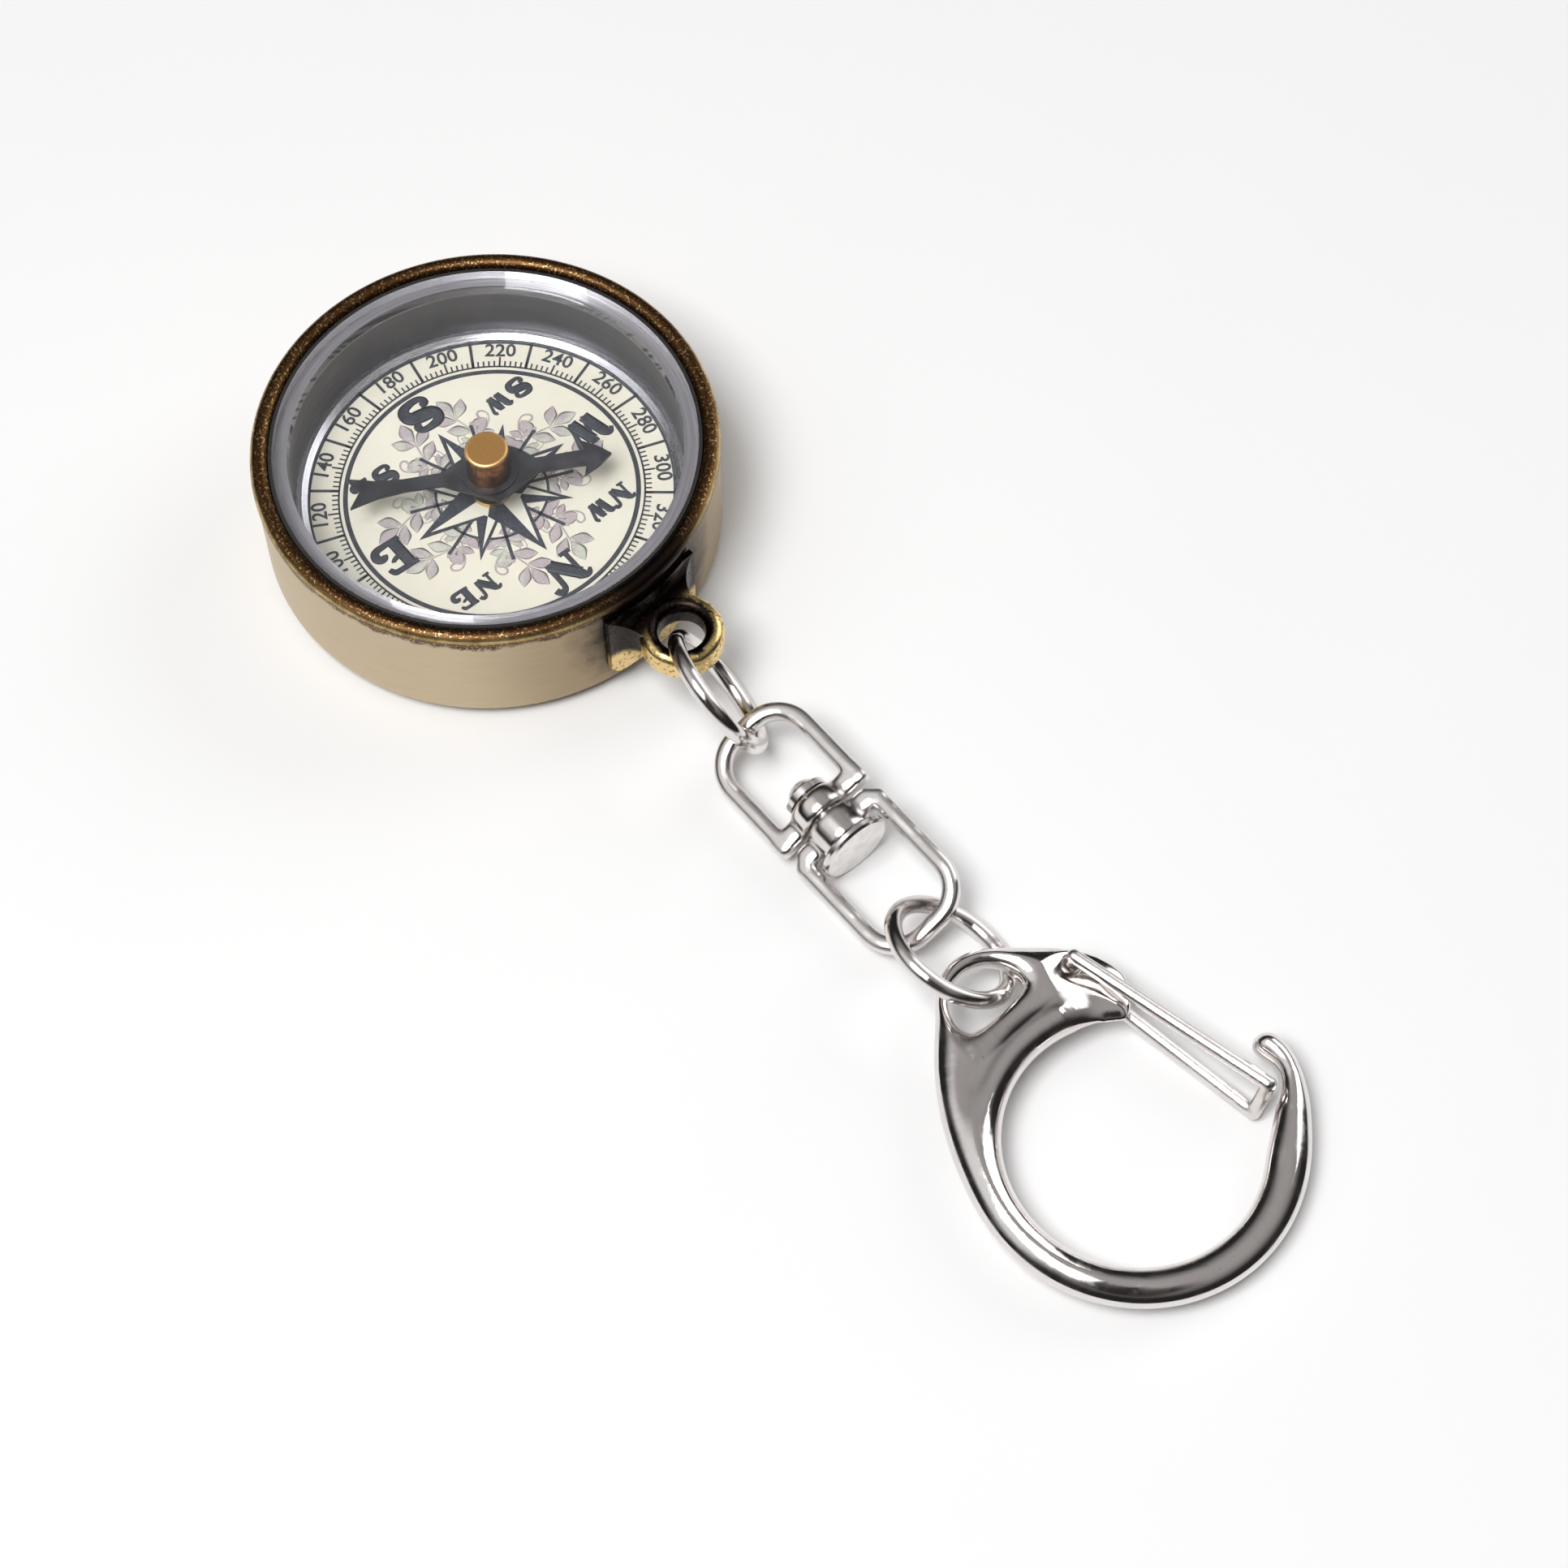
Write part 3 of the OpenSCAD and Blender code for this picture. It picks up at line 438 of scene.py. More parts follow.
def case_brass(tree, looks):
    """Satin tan wall, painted shade towards the lug, brown speckled rim with worn edges and a
    painted highlight, near black painted shade round the lug.
    """
    place, x, y, z = object_xyz(tree)
    lines = use(tree, "Turned lines", Lines=7000.0, Along=5.0)
    specks = use(tree, "Speckle", Size=4600.0, Density=0.34)["Mask"]
    fine = use(tree, "Speckle", Size=7000.0, Density=0.35)["Mask"]
    blotch = use(tree, "Mottle", Size=420.0, Cover=0.5, Softness=0.16)["Mask"]
    wall = blend(tree, times(tree, lines["Shade"], 0.25), looks.brass, TAN_SHADE)
    near_lug = distance_to(tree, place, LUG_FOOT)
    # Painted shade darkens the wall towards the lug
    lug_side_shade = step_between(tree, near_lug, 8.0 * MM, 20.0 * MM, 0.55, 0.0)
    wall = blend(tree, lug_side_shade, wall, PAINTED_SHADE_TAN)
    # The patina runs a little down from the rim and breaks up into specks
    ragged = minus(tree, blotch, specks)
    rim = step_between(tree, add_part(tree, ragged, 0.55 * MM, z), 10.9 * MM, 11.5 * MM)
    gold = blend(tree, fine, looks.patina, FINE_GOLD)
    gold = blend(tree, times(tree, specks, 0.5), gold, looks.worn_brass)
    colour = blend(tree, rim, wall, gold)
    # A bright line runs round the rim's outer shoulder, partly wear and partly a painted highlight
    shoulder = radius_of(tree, minus(tree, radius_of(tree, x, y), SHOULDER_RADIUS),
                         minus(tree, z, SHOULDER_HEIGHT))
    worn = times(tree, step_between(tree, shoulder, 0.12 * MM, 0.42 * MM, 1.0, 0.0),
                 minus(tree, 1.0, times(tree, blotch, 0.75)))
    colour = blend(tree, worn, colour, looks.worn_brass)
    # Near black painted shade on the case round the lug, with a ragged edge
    lug_shade_mask = step_between(tree, add_part(tree, blotch, 1.0 * MM, near_lug),
                         5.2 * MM, 10.5 * MM, 1.0, 0.0)
    colour = blend(tree, lug_shade_mask, colour, looks.soot)
    rough = add_part(tree, lines["Shade"], 0.06, add_part(tree, rim, -0.06, 0.40))
    rough = add_part(tree, specks, -0.05, rough)
    height = add_part(tree, times(tree, specks, rim), 0.5, lines["Height"])
    return metal(colour, rough, bump(tree, height, 0.01 * MM, 0.55))


def lug_brass(tree, looks):
    """Cast brass: bright worn outer edge, near black painted shade in the hollow next to the case.
    """
    _place, x, y, z = object_xyz(tree)
    specks = use(tree, "Speckle", Size=3000.0, Density=0.4)["Mask"]
    blotch = use(tree, "Mottle", Size=600.0, Cover=0.45, Softness=0.12)["Mask"]
    flat_place = put(tree, "ShaderNodeCombineXYZ", {0: x, 1: y, 2: 0.0}).outputs[0]
    eyelet = distance_to(tree, flat_place, EYELET)
    outer = step_between(tree, add_part(tree, blotch, -0.35 * MM, eyelet), 2.55 * MM, 3.0 * MM)
    case_side = step_between(tree, add_part(tree, blotch, 0.4 * MM, x), 21.4 * MM, 22.9 * MM)
    low = step_between(tree, z, 4.9 * MM, 6.0 * MM, 1.0, 0.0)
    # The rest of the lug is near black painted shade, leaving the eyelet's outer edge bright away
    # from the case and low down
    bright = times(tree, outer, calc(tree, "MAXIMUM", case_side, low))
    gold = blend(tree, specks, looks.worn_brass, DULL_GOLD)
    return metal(blend(tree, bright, looks.soot, gold), between(tree, specks, 0.26, 0.42),
                 bump(tree, calc(tree, "ADD", specks, blotch), 0.015 * MM, 0.5))


def nickel(tree, looks):
    """Polished nickel of the wire, whose edges look rounded."""
    return smeared_metal(tree, looks.nickel, SMEARED_NICKEL, 0.35, (300.0, 3000.0),
                         (0.07, 0.15), (0.02 * MM, 0.35), eased_edges(tree, STRAND_ROUNDING))


def hook_nickel(tree, looks):
    """Tumbled and plated casting, with a few specks."""
    made = smeared_metal(tree, looks.nickel, SMEARED_CASTING, 0.3, (420.0, 1800.0),
                         (0.10, 0.18), (0.03 * MM, 0.3))
    specks = use(tree, "Speckle", Size=1500.0, Density=0.05)["Mask"]
    made["Base Color"] = blend(tree, times(tree, specks, 0.4), made["Base Color"], CASTING_SPECK)
    return made


def rivet_steel(tree, looks):
    """Satin nickel of the rivet."""
    return smeared_metal(tree, looks.nickel, SMEARED_RIVET, 0.5, (900.0, 5000.0),
                         (0.18, 0.24), (0.01 * MM, 0.2))


def needle_black(tree, looks):
    """Steel painted black, worn a little."""
    made = smeared_metal(tree, NEEDLE_PAINT, NEEDLE_WORN, 0.5, (500.0, 4000.0),
                         (0.30, 0.45), (0.01 * MM, 0.4))
    return {**made, "Metallic": 0.0, "Specular IOR Level": 0.6}


def cap_copper(tree, looks):
    """Turned cap: satin face, painted highlight round its rim, side painted darker with streaks of
    painted reflection.
    """
    _place, x, y, z = object_xyz(tree)
    lines = use(tree, "Turned lines", Lines=14000.0, Along=3.0)
    blotch = use(tree, "Mottle", Size=1100.0, Cover=0.45, Softness=0.14)["Mask"]
    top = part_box("needle_cap")[1].z
    edge = step_between(tree, radius_of(tree, x, y), 1.58 * MM, 1.76 * MM)
    near_top = step_between(tree, z, top - 0.30 * MM, top - 0.05 * MM)
    face = blend(tree, times(tree, lines["Shade"], 0.5), looks.copper, CAP_LINES)
    # The side below the face is painted darker, with painted streaks of reflection
    colour = blend(tree, near_top, blend(tree, blotch, CAP_SIDE_SHADE, CAP_REFLECTION_STREAK), face)
    # A painted highlight runs round the edge of the face
    colour = blend(tree, times(tree, edge, near_top), colour, CAP_EDGE_HIGHLIGHT)
    rough = step_between(tree, z, top - 0.3 * MM, top - 0.02 * MM, 0.22, 0.42)
    return metal(colour, rough, bump(tree, lines["Height"], 0.01 * MM, 0.5))


def cup_metal(tree, looks):
    """Dark satin wall of the capsule, painted lighter towards the top, under a pale rim that paints
    the bright ring seen through the crystal, with fine lines round it.
    """
    z = object_xyz(tree)[3]
    lines = use(tree, "Turned lines", Lines=5000.0, Along=2.0)
    blotch = use(tree, "Mottle", Size=160.0, Cover=0.5, Softness=0.2)["Mask"]
    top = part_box("capsule_cup")[1].z
    rim = step_between(tree, z, top - 0.25 * MM, top - 0.05 * MM)
    # Painted light brightens the upper wall
    upper_painted_light = step_between(tree, z, top - 4.5 * MM, top - 0.4 * MM)
    wall = blend(tree, times(tree, blotch, 0.5), looks.cup, CUP_CLOUD)
    wall = blend(tree, times(tree, upper_painted_light, 0.6), wall, CUP_PAINTED_LIGHT)
    # The pale rim is painted light, the bright ring seen through the crystal
    pale = blend(tree, lines["Shade"], PAINTED_PALE_RIM, PAINTED_PALE_RIM_LINES)
    return {"Base Color": blend(tree, rim, wall, pale), "Metallic": 0.75,
            "Roughness": between(tree, lines["Shade"], 0.42, 0.52),
            "Normal": bump(tree, lines["Height"], 0.01 * MM, 0.5)}


def paper(tree, looks):
    """Cream paper, slightly yellowed in soft clouds, with a fine tooth."""
    cloud = use(tree, "Mottle", Size=120.0, Cover=0.5, Softness=0.3)["Mask"]
    tooth = use(tree, "Speckle", Size=9000.0, Density=0.5)["Mask"]
    colour = blend(tree, times(tree, cloud, 0.6), looks.paper, PAPER_CLOUD)
    colour = blend(tree, times(tree, tooth, 0.07), colour, PAPER_TOOTH)
    return card_stock(tree, colour, 0.55, tooth, 0.004 * MM)


def ink_of(colour, thin):
    """Printing ink that lets a little of the paper's tooth through."""
    def build(tree, looks):
        tooth = use(tree, "Speckle", Size=8000.0, Density=0.45)["Mask"]
        cloud = use(tree, "Mottle", Size=900.0, Cover=0.5, Softness=0.25)["Mask"]
        shade = getattr(looks, colour)
        worn = tuple(v + thin * (1 - v) for v in shade)
        share = calc(tree, "ADD", times(tree, tooth, 0.5), times(tree, cloud, 0.35), clamp=True)
        return card_stock(tree, blend(tree, share, shade, worn), 0.5, tooth, 0.003 * MM)
    return build


def leaf_ink(tree, looks):
    """Pale print that changes from lilac grey to green grey in soft clouds."""
    cloud = use(tree, "Mottle", Size=330.0, Cover=0.4, Softness=0.08)["Mask"]
    tooth = use(tree, "Speckle", Size=8000.0, Density=0.45)["Mask"]
    colour = blend(tree, cloud, looks.leaf_ink, GREEN_LEAF)
    colour = blend(tree, times(tree, tooth, 0.3), colour, looks.paper)
    return card_stock(tree, colour, 0.55, tooth, 0.003 * MM)


def seal_black(tree, looks):
    """Matt black rubber."""
    tooth = use(tree, "Speckle", Size=5000.0, Density=0.3)["Mask"]
    return {"Base Color": blend(tree, tooth, SEAL_DARK, SEAL_TOOTH), "Roughness": 0.55,
            "Normal": bump(tree, tooth, 0.01 * MM, 0.4)}


def crystal_material(looks):
    """Clear acrylic: mirrors and bends what is seen, and lets the light of the lamps pass."""
    made = bpy.data.materials.new("Clear crystal")
    tree, out = empty_tree(made, "ShaderNodeOutputMaterial")
    smear = use(tree, "Polish", Wave_size=120.0, Mark_size=2500.0)["Smear"]
    tint = (*looks.glass, 1)
    shader = put(tree, "ShaderNodeBsdfPrincipled", {
        "Base Color": tint, "Transmission Weight": 1.0, "IOR": CRYSTAL_IOR,
        "Roughness": between(tree, smear, 0.0, 0.02)})
    through = put(tree, "ShaderNodeBsdfTransparent", {"Color": tint})
    light = put(tree, "ShaderNodeLightPath").outputs["Is Shadow Ray"]
    mixed = put(tree, "ShaderNodeMixShader",
                {0: light, 1: shader.outputs[0], 2: through.outputs[0]})
    tree.links.new(mixed.outputs[0], out)
    return made


POLISHED_NICKEL = ("Polished nickel", nickel)
DIAL_INK = ("Dial ink", ink_of("ink", 0.05))
STAR_PAPER = ("Star paper", ink_of("paper", 0.0))
LEAF_INK = ("Leaf ink", leaf_ink)

NODE_FINISHES = {
    "case": ("Aged brass", case_brass),
    "lug": ("Cast brass", lug_brass),
    "glue_pad": ("Glue", clouded((0.78, 0.74, 0.60), (0.66, 0.60, 0.44), 300.0, 0.45,
                                 0.05 * MM, 0.4, "Subsurface Weight", 0.1)),
    "capsule_cup": ("Dark cup metal", cup_metal),
    "dial_card": ("Cream paper", paper),
    "dial_ring": ("Bright ring", turned_metal((0.78, 0.78, 0.80), (0.68, 0.68, 0.71), 12000.0, 4.0,
                                              (0.20, 0.30), 0.01 * MM, 0.5)),
    "pivot_boss": ("Turned bush", turned_metal(None, (0.58, 0.42, 0.18), 16000.0, 3.0,
                                               (0.3, 0.3), 0.01 * MM, 0.4)),
    "pivot_pin": ("Pin steel", turned_metal((0.62, 0.63, 0.66), (0.48, 0.49, 0.52), 20000.0, 2.0,
                                            (0.22, 0.22), 0.005 * MM, 0.4)),
    "needle": ("Needle black", needle_black),
    "needle_cap": ("Turned copper", cap_copper),
    "jewel_bearing": ("Red jewel", clouded((0.42, 0.01, 0.03), (0.28, 0.005, 0.02), 1500.0, 0.08,
                                           0.004 * MM, 0.3, "Coat Weight", 0.5)),
    "crystal_seal": ("Black seal", seal_black),
    "lug_ring": POLISHED_NICKEL,
    "swivel_bow": POLISHED_NICKEL,
    "swivel_loop": POLISHED_NICKEL,
    "swivel_rivet": ("Rivet steel", rivet_steel),
    "hook_ring": POLISHED_NICKEL,
    "hook_body": ("Plated casting", hook_nickel),
    "gate_wire": POLISHED_NICKEL,
}


def named_material(name, build, looks):
    """The material of that name, made the first time it is asked for."""
    return bpy.data.materials.get(name) or material(name, lambda tree: build(tree, looks))


# MESH HELPERS

def add_object(name, data):
    made = bpy.data.objects.new(name, data)
    bpy.context.scene.collection.objects.link(made)
    return made


def piece(name, mesh, body, finish):
    """Put a finished mesh in the scene as a piece of one body."""
    made = add_object(name, mesh)
    mesh.materials.clear()
    mesh.materials.append(finish)
    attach(made, body)
    return made


def printed(name, mesh, finish, looks):
    """Put a finished layer of print on the dial's card."""
    return piece(name, mesh, "body", named_material(*finish, looks))


def mesh_from(name, shape):
    """New mesh of a bmesh, which is freed."""
    made = bpy.data.meshes.new(name)
    shape.to_mesh(made)
    shape.free()
    return made


def dial_turn(sizes, degrees):
    """Turn from the mesh's X axis to a bearing on the dial, clockwise from north."""
    return Matrix.Rotation(sizes.north - radians(degrees), 4, "Z")


def turned_point(x, y, turn, origin=(0.0, 0.0)):
    """Place of (x, y) after a turn about the Z axis and a move to an origin."""
    return (origin[0] + x * cos(turn) - y * sin(turn), origin[1] + x * sin(turn) + y * cos(turn))


def flat_ring(shape, middle, width, low, high, steps=180):
    """Ring with a rectangular section, spun round the Z axis."""
    corners = [shape.verts.new((middle + a * width / 2, 0, b))
               for a, b in ((-1, low), (1, low), (1, high), (-1, high))]
    edges = [shape.edges.new((corners[i], corners[(i + 1) % 4])) for i in range(4)]
    bmesh.ops.spin(shape, geom=corners + edges, cent=(0, 0, 0), axis=(0, 0, 1), angle=FULL_TURN,
                   steps=steps, use_merge=True)


def flat_bar(shape, turn, start, end, width, low, high):
    """Bar that runs outwards from the middle of the dial."""
    size = Matrix.Diagonal((end - start, width, high - low, 1))
    place = Matrix.Translation(((start + end) / 2, 0, (low + high) / 2))
    bmesh.ops.create_cube(shape, size=1, matrix=turn @ place @ size)


def flat_polygon(shape, points, low, high):
    """Flat plate with the given outline."""
    corners = [shape.verts.new((x, y, low)) for x, y in points]
    face = shape.faces.new(corners)
    lifted = bmesh.ops.extrude_face_region(shape, geom=[face])["geom"]
    bmesh.ops.translate(shape, vec=(0, 0, high - low),
                        verts=[v for v in lifted if isinstance(v, bmesh.types.BMVert)])


def mesh_of_curve(name, curve):
    """Mesh of a curve or a text, which is removed."""
    carrier = add_object(name, curve)
    bpy.context.view_layer.update()
    graph = bpy.context.evaluated_depsgraph_get()
    made = bpy.data.meshes.new_from_object(carrier.evaluated_get(graph))
    bpy.data.objects.remove(carrier)
    bpy.data.curves.remove(curve)
    return made


def strokes_mesh(name, strokes, low, high):
    """Flat pen strokes: each is a row of (x, y, half width) in metres, on the dial's plane."""
    curve = bpy.data.curves.new(name, "CURVE")
    curve.dimensions = "3D"
    curve.bevel_depth = 1.0
    curve.bevel_resolution = 1
    curve.use_fill_caps = True
    for row in strokes:
        line = curve.splines.new("NURBS")
        line.points.add(len(row) - 1)
        for point, (x, y, half) in zip(line.points, row):
            point.co = (x, y, 0, 1)
            point.radius = half
        line.order_u = min(3, len(row))
        line.use_endpoint_u = True
        line.resolution_u = 4
    made = mesh_of_curve(name, curve)
    top = max(v.co.z for v in made.vertices)
    flatten = Matrix.Diagonal((1, 1, (high - low) / 2 / top, 1))
    made.transform(Matrix.Translation((0, 0, (low + high) / 2)) @ flatten)
    made.name = name
    return made


def joined(name, meshes):
    """One mesh of several."""
    shape = bmesh.new()
    for part in meshes:
        shape.from_mesh(part)
        bpy.data.meshes.remove(part)
    return mesh_from(name, shape)


# LETTERS AND LEAVES

# Rows of (x, y, half width) in shares of a letter's height
LETTER_STROKES = {
    "N": (
        ((0.17, 0.03, 0.05), (0.17, 0.94, 0.05)),
        ((-0.02, 0.0, 0.045), (0.36, 0.0, 0.045)),
        ((-0.1, 0.86, 0.03), (-0.02, 1.02, 0.06), (0.16, 0.98, 0.1), (0.26, 0.86, 0.12)),
        ((0.2, 0.88, 0.13), (0.8, 0.1, 0.13)),
        ((0.84, 0.04, 0.06), (0.84, 0.78, 0.055), (0.88, 1.04, 0.06), (1.1, 1.1, 0.075),
         (1.16, 0.9, 0.07)),
    ),
    "E": (
        ((0.26, 0.02, 0.12), (0.26, 0.98, 0.12)),
        ((0.02, 1.0, 0.055), (0.7, 1.0, 0.06), (0.86, 0.96, 0.07), (0.9, 0.78, 0.05)),
        ((0.26, 0.54, 0.05), (0.6, 0.54, 0.055), (0.66, 0.66, 0.04)),
        ((0.02, 0.0, 0.05), (0.5, 0.0, 0.06), (0.92, 0.0, 0.08), (1.0, 0.3, 0.1),
         (0.76, 0.4, 0.08), (0.7, 0.26, 0.05)),
    ),
    "S": (
        ((0.66, 0.76, 0.07), (0.84, 0.74, 0.08), (0.8, 1.0, 0.07), (0.46, 1.04, 0.08),
         (0.1, 0.98, 0.11), (0.08, 0.62, 0.15), (0.46, 0.54, 0.16), (0.86, 0.46, 0.15),
         (0.88, 0.06, 0.11), (0.5, -0.04, 0.08), (0.14, -0.02, 0.07), (0.08, 0.26, 0.09),
         (0.3, 0.24, 0.06)),
    ),
    "W": (
        ((-0.1, 0.88, 0.04), (0.0, 1.04, 0.06), (0.14, 0.98, 0.1), (0.18, 0.84, 0.12)),
        ((0.16, 0.9, 0.12), (0.34, 0.08, 0.12)),
        ((0.36, 0.06, 0.045), (0.58, 0.92, 0.045)),
        ((0.44, 1.0, 0.045), (0.74, 1.0, 0.045)),
        ((0.6, 0.94, 0.12), (0.8, 0.08, 0.12)),
        ((0.82, 0.06, 0.045), (1.02, 0.8, 0.055), (1.08, 1.06, 0.07), (0.92, 1.12, 0.06)),
    ),
}
# Step from letter to letter in heights, growth of the strokes, and growth of the numbers
LETTER_STEP, LETTER_WEIGHT, NUMBER_WEIGHT = 1.3, 1.6, 0.035 * MM

# One sprig in shares of its length: a stem, a tendril, and leaves as (x, y, degrees, length)
SPRIG_STEMS = (
    ((0.0, 0.0, 0.012), (0.25, 0.1, 0.014), (0.55, 0.08, 0.014), (0.8, -0.04, 0.010)),
    ((0.3, 0.09, 0.010), (0.42, 0.3, 0.012), (0.6, 0.42, 0.012), (0.72, 0.34, 0.014),
     (0.68, 0.24, 0.016), (0.58, 0.28, 0.018)),
)
SPRIG_LEAVES = (
    (0.78, -0.03, -15, 0.36), (0.74, 0.0, 35, 0.33), (0.7, -0.02, -68, 0.33),
    (0.54, 0.08, 80, 0.26), (0.45, 0.08, -60, 0.34), (0.2, 0.08, 80, 0.28),
    (0.14, 0.05, -50, 0.32),
)
LEAF_SHARES = ((0.0, 0.0, 0.02), (0.25, 0.03, 0.18), (0.55, 0.05, 0.3), (0.8, 0.02, 0.17),
               (1.0, 0.0, 0.01))
# Two sprigs between each pair of letters: bearing, radius, length, lean and flip
SPRIGS = ((0, 3.6 * MM, 6.6 * MM, -12, 1), (13, 3.4 * MM, 4.4 * MM, 34, -1))
BETWEEN_LETTERS = 22.5

# The star in shares of its radius: its rays, then reach, hips and layer of each kind of point
RAY_START, RAY_END = 0.34, 0.93
MAIN_POINT, SMALL_POINT = (1.0, 0.235, 4), (0.91, 0.17, 2)
STAR_STEPS = 96

# Widths of the other lines in shares of the fine line, and of the long tick in short ones
THICK, THIN, STAR_RING, STAR_RAY, LONG_TICK = 1.6, 0.9, 1.4, 1.8, 1.7


def placed_strokes(strokes, origin, turn, size, flip=1.0, weight=1.0):
    """Strokes in shares of a size, turned and moved on the dial's plane."""
    return [[(*turned_point(x * size, y * size * flip, turn, origin), half * size * weight)
             for x, y, half in row] for row in strokes]


def word_strokes(sizes, word, bearing, radius, height):
    """Letters with their heads towards north, centred on a bearing of the dial."""
    middle = turned_point(radius, 0, sizes.north - radians(bearing))
    line = sizes.north - pi / 2
    width = (LETTER_STEP * (len(word) - 1) + 1.0) * height
    made = []
    for index, letter in enumerate(word):
        x = index * LETTER_STEP * height - width / 2
        made += placed_strokes(LETTER_STROKES[letter], turned_point(x, -height / 2, line, middle),
                               line, height, 1.0, LETTER_WEIGHT)
    return made


def sprig_strokes(sizes, bearing, radius, size, lean, flip):
    """A leafy sprig that grows outwards from a place on the dial."""
    direction = sizes.north - radians(bearing)
    origin = turned_point(radius, 0, direction)
    turn = direction + radians(lean)
    made = placed_strokes(SPRIG_STEMS, origin, turn, size, flip)
    for x, y, leaf_turn, length in SPRIG_LEAVES:
        start = turned_point(x * size, y * size * flip, turn, origin)
        made += placed_strokes((LEAF_SHARES,), start, turn + radians(leaf_turn) * flip,
                               length * size, flip)
    return made


# The hook's plate is worn lower towards its edges, and smoother where the gate turns
CROWN_REACH, CROWN_DEPTH, SIDE_SLOPE = 4.2 * MM, 0.32, 0.3
WORN_CORNER, CORNER_REACH, CORNER_ROUNDS = (70.1 * MM, -1.1 * MM, 0), 2.1 * MM, 40

# Castings under a smooth skin: body, slot, grid of the skin and rounds of smoothing
SKINS = {
    "hook_body": ("hook", "hook_nickel", 0.17 * MM, 36),
    "swivel_bow": ("bow", "nickel", 0.10 * MM, 30),
    "swivel_loop": ("loop", "nickel", 0.10 * MM, 30),
}
SAME_PLACE = 0.004 * MM

# Lamps: name, place, size and power. They face the middle of the object
LAMPS = (("key", (0.04, -0.25, 0.58), 0.30, 3.0), ("back", (0.12, 0.58, 0.34), 0.45, 1.2))
LAMP_TARGET = Vector((0.035, 0, 0))

# The room that the metal mirrors: its shades, and directions of its dark and bright places
ROOM_LOW, ROOM_HIGH, ROOM_STRENGTH = (0.016, 0.015, 0.015), (0.285, 0.278, 0.275), 1.3
CAMERA_SIDE, CAMERA_SIDE_TONE = (0.37, -0.37, 0.85), (0.02, 0.018, 0.017)
SOFT_BOX, SOFT_BOX_TONE = (-0.35, -0.50, 0.79), (0.60, 0.60, 0.60)
FLOOR_GRAIN, FLOOR_SHADE = 40.0, 0.985


# OPERATORS

class CompassOperator:
    bl_options = {"REGISTER", "UNDO"}

    def shared(self, context):
        return context.scene.compass_dial, context.scene.compass_finishes


class COMPASS_OT_node_finishes(CompassOperator, Operator):
    """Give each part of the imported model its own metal, paper, rubber or glass"""
    bl_idname = "compass.node_finishes"
    bl_label = "Finish the parts"

    def execute(self, context):
        _sizes, looks = self.shared(context)
        for name, (finish, build) in NODE_FINISHES.items():
            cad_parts[name].material_slots[0].material = named_material(finish, build, looks)
        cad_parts["crystal"].material_slots[0].material = crystal_material(looks)
        return {"FINISHED"}


class COMPASS_OT_scale_ring(CompassOperator, Operator):
    """Print the dial's circles, ticks and radial lines"""
    bl_idname = "compass.scale_ring"
    bl_label = "Print the scale"

    def execute(self, context):
        sizes, looks = self.shared(context)
        low, high = DIAL_FACE + sizes.ink_height / 2, DIAL_FACE + 1.5 * sizes.ink_height
        shape = bmesh.new()
        flat_ring(shape, sizes.ring_radius, sizes.ring_width, low, high)
        flat_ring(shape, sizes.scale_radius, sizes.line_width, low, high)
        flat_ring(shape, sizes.edge_radius, THICK * sizes.line_width, low, high)
        start = sizes.scale_radius
        for degrees in range(0, 360, sizes.tick_step):
            flat_bar(shape, dial_turn(sizes, degrees), start, start + sizes.tick_length,
                     THIN * sizes.line_width, low, high)
        for degrees in range(0, 360, sizes.number_step):
            flat_bar(shape, dial_turn(sizes, degrees), start, start + LONG_TICK * sizes.tick_length,
                     sizes.line_width, low, high)
            flat_bar(shape, dial_turn(sizes, degrees + sizes.number_step / 2), start,
                     sizes.edge_radius, THICK * sizes.line_width, low, high)
        printed("dial_scale", mesh_from("dial_scale", shape), DIAL_INK, looks)
        return {"FINISHED"}


class COMPASS_OT_numbers(CompassOperator, Operator):
    """Print the numbers of the scale, with their heads outwards"""
    bl_idname = "compass.numbers"
    bl_label = "Print the numbers"

    def execute(self, context):
        sizes, looks = self.shared(context)
        upright = Matrix.Rotation(-pi / 2, 4, "Z")
        place = Matrix.Translation((sizes.number_radius, 0, DIAL_FACE + sizes.ink_height))
        numbers = []
        for degrees in range(0, 360, sizes.number_step):
            text = bpy.data.curves.new("number", "FONT")
            text.body = str(degrees or 360)
            text.size = sizes.number_size
            text.align_x, text.align_y = "CENTER", "CENTER"
            text.offset = NUMBER_WEIGHT
            text.extrude = sizes.ink_height / 2
            text.resolution_u = 3
            mesh = mesh_of_curve("number", text)
            mesh.transform(dial_turn(sizes, degrees) @ place @ upright)
            numbers.append(mesh)
        printed("dial_numbers", joined("dial_numbers", numbers), DIAL_INK, looks)
        return {"FINISHED"}


class COMPASS_OT_leaves(CompassOperator, Operator):
    """Print the pale leaves and tendrils behind the star"""
    bl_idname = "compass.leaves"
    bl_label = "Print the leaves"

    def execute(self, context):
        sizes, looks = self.shared(context)
        strokes = []
        for index in range(8):
            flip = 1 if index % 2 else -1
            for bearing, radius, size, lean, side in SPRIGS:
                strokes += sprig_strokes(sizes, 45 * index + BETWEEN_LETTERS + bearing * flip,
                                         radius, size, lean * flip, side * flip)
        mesh = strokes_mesh("dial_leaves", strokes, DIAL_FACE, DIAL_FACE + sizes.ink_height)
        printed("dial_leaves", mesh, LEAF_INK, looks)
        return {"FINISHED"}


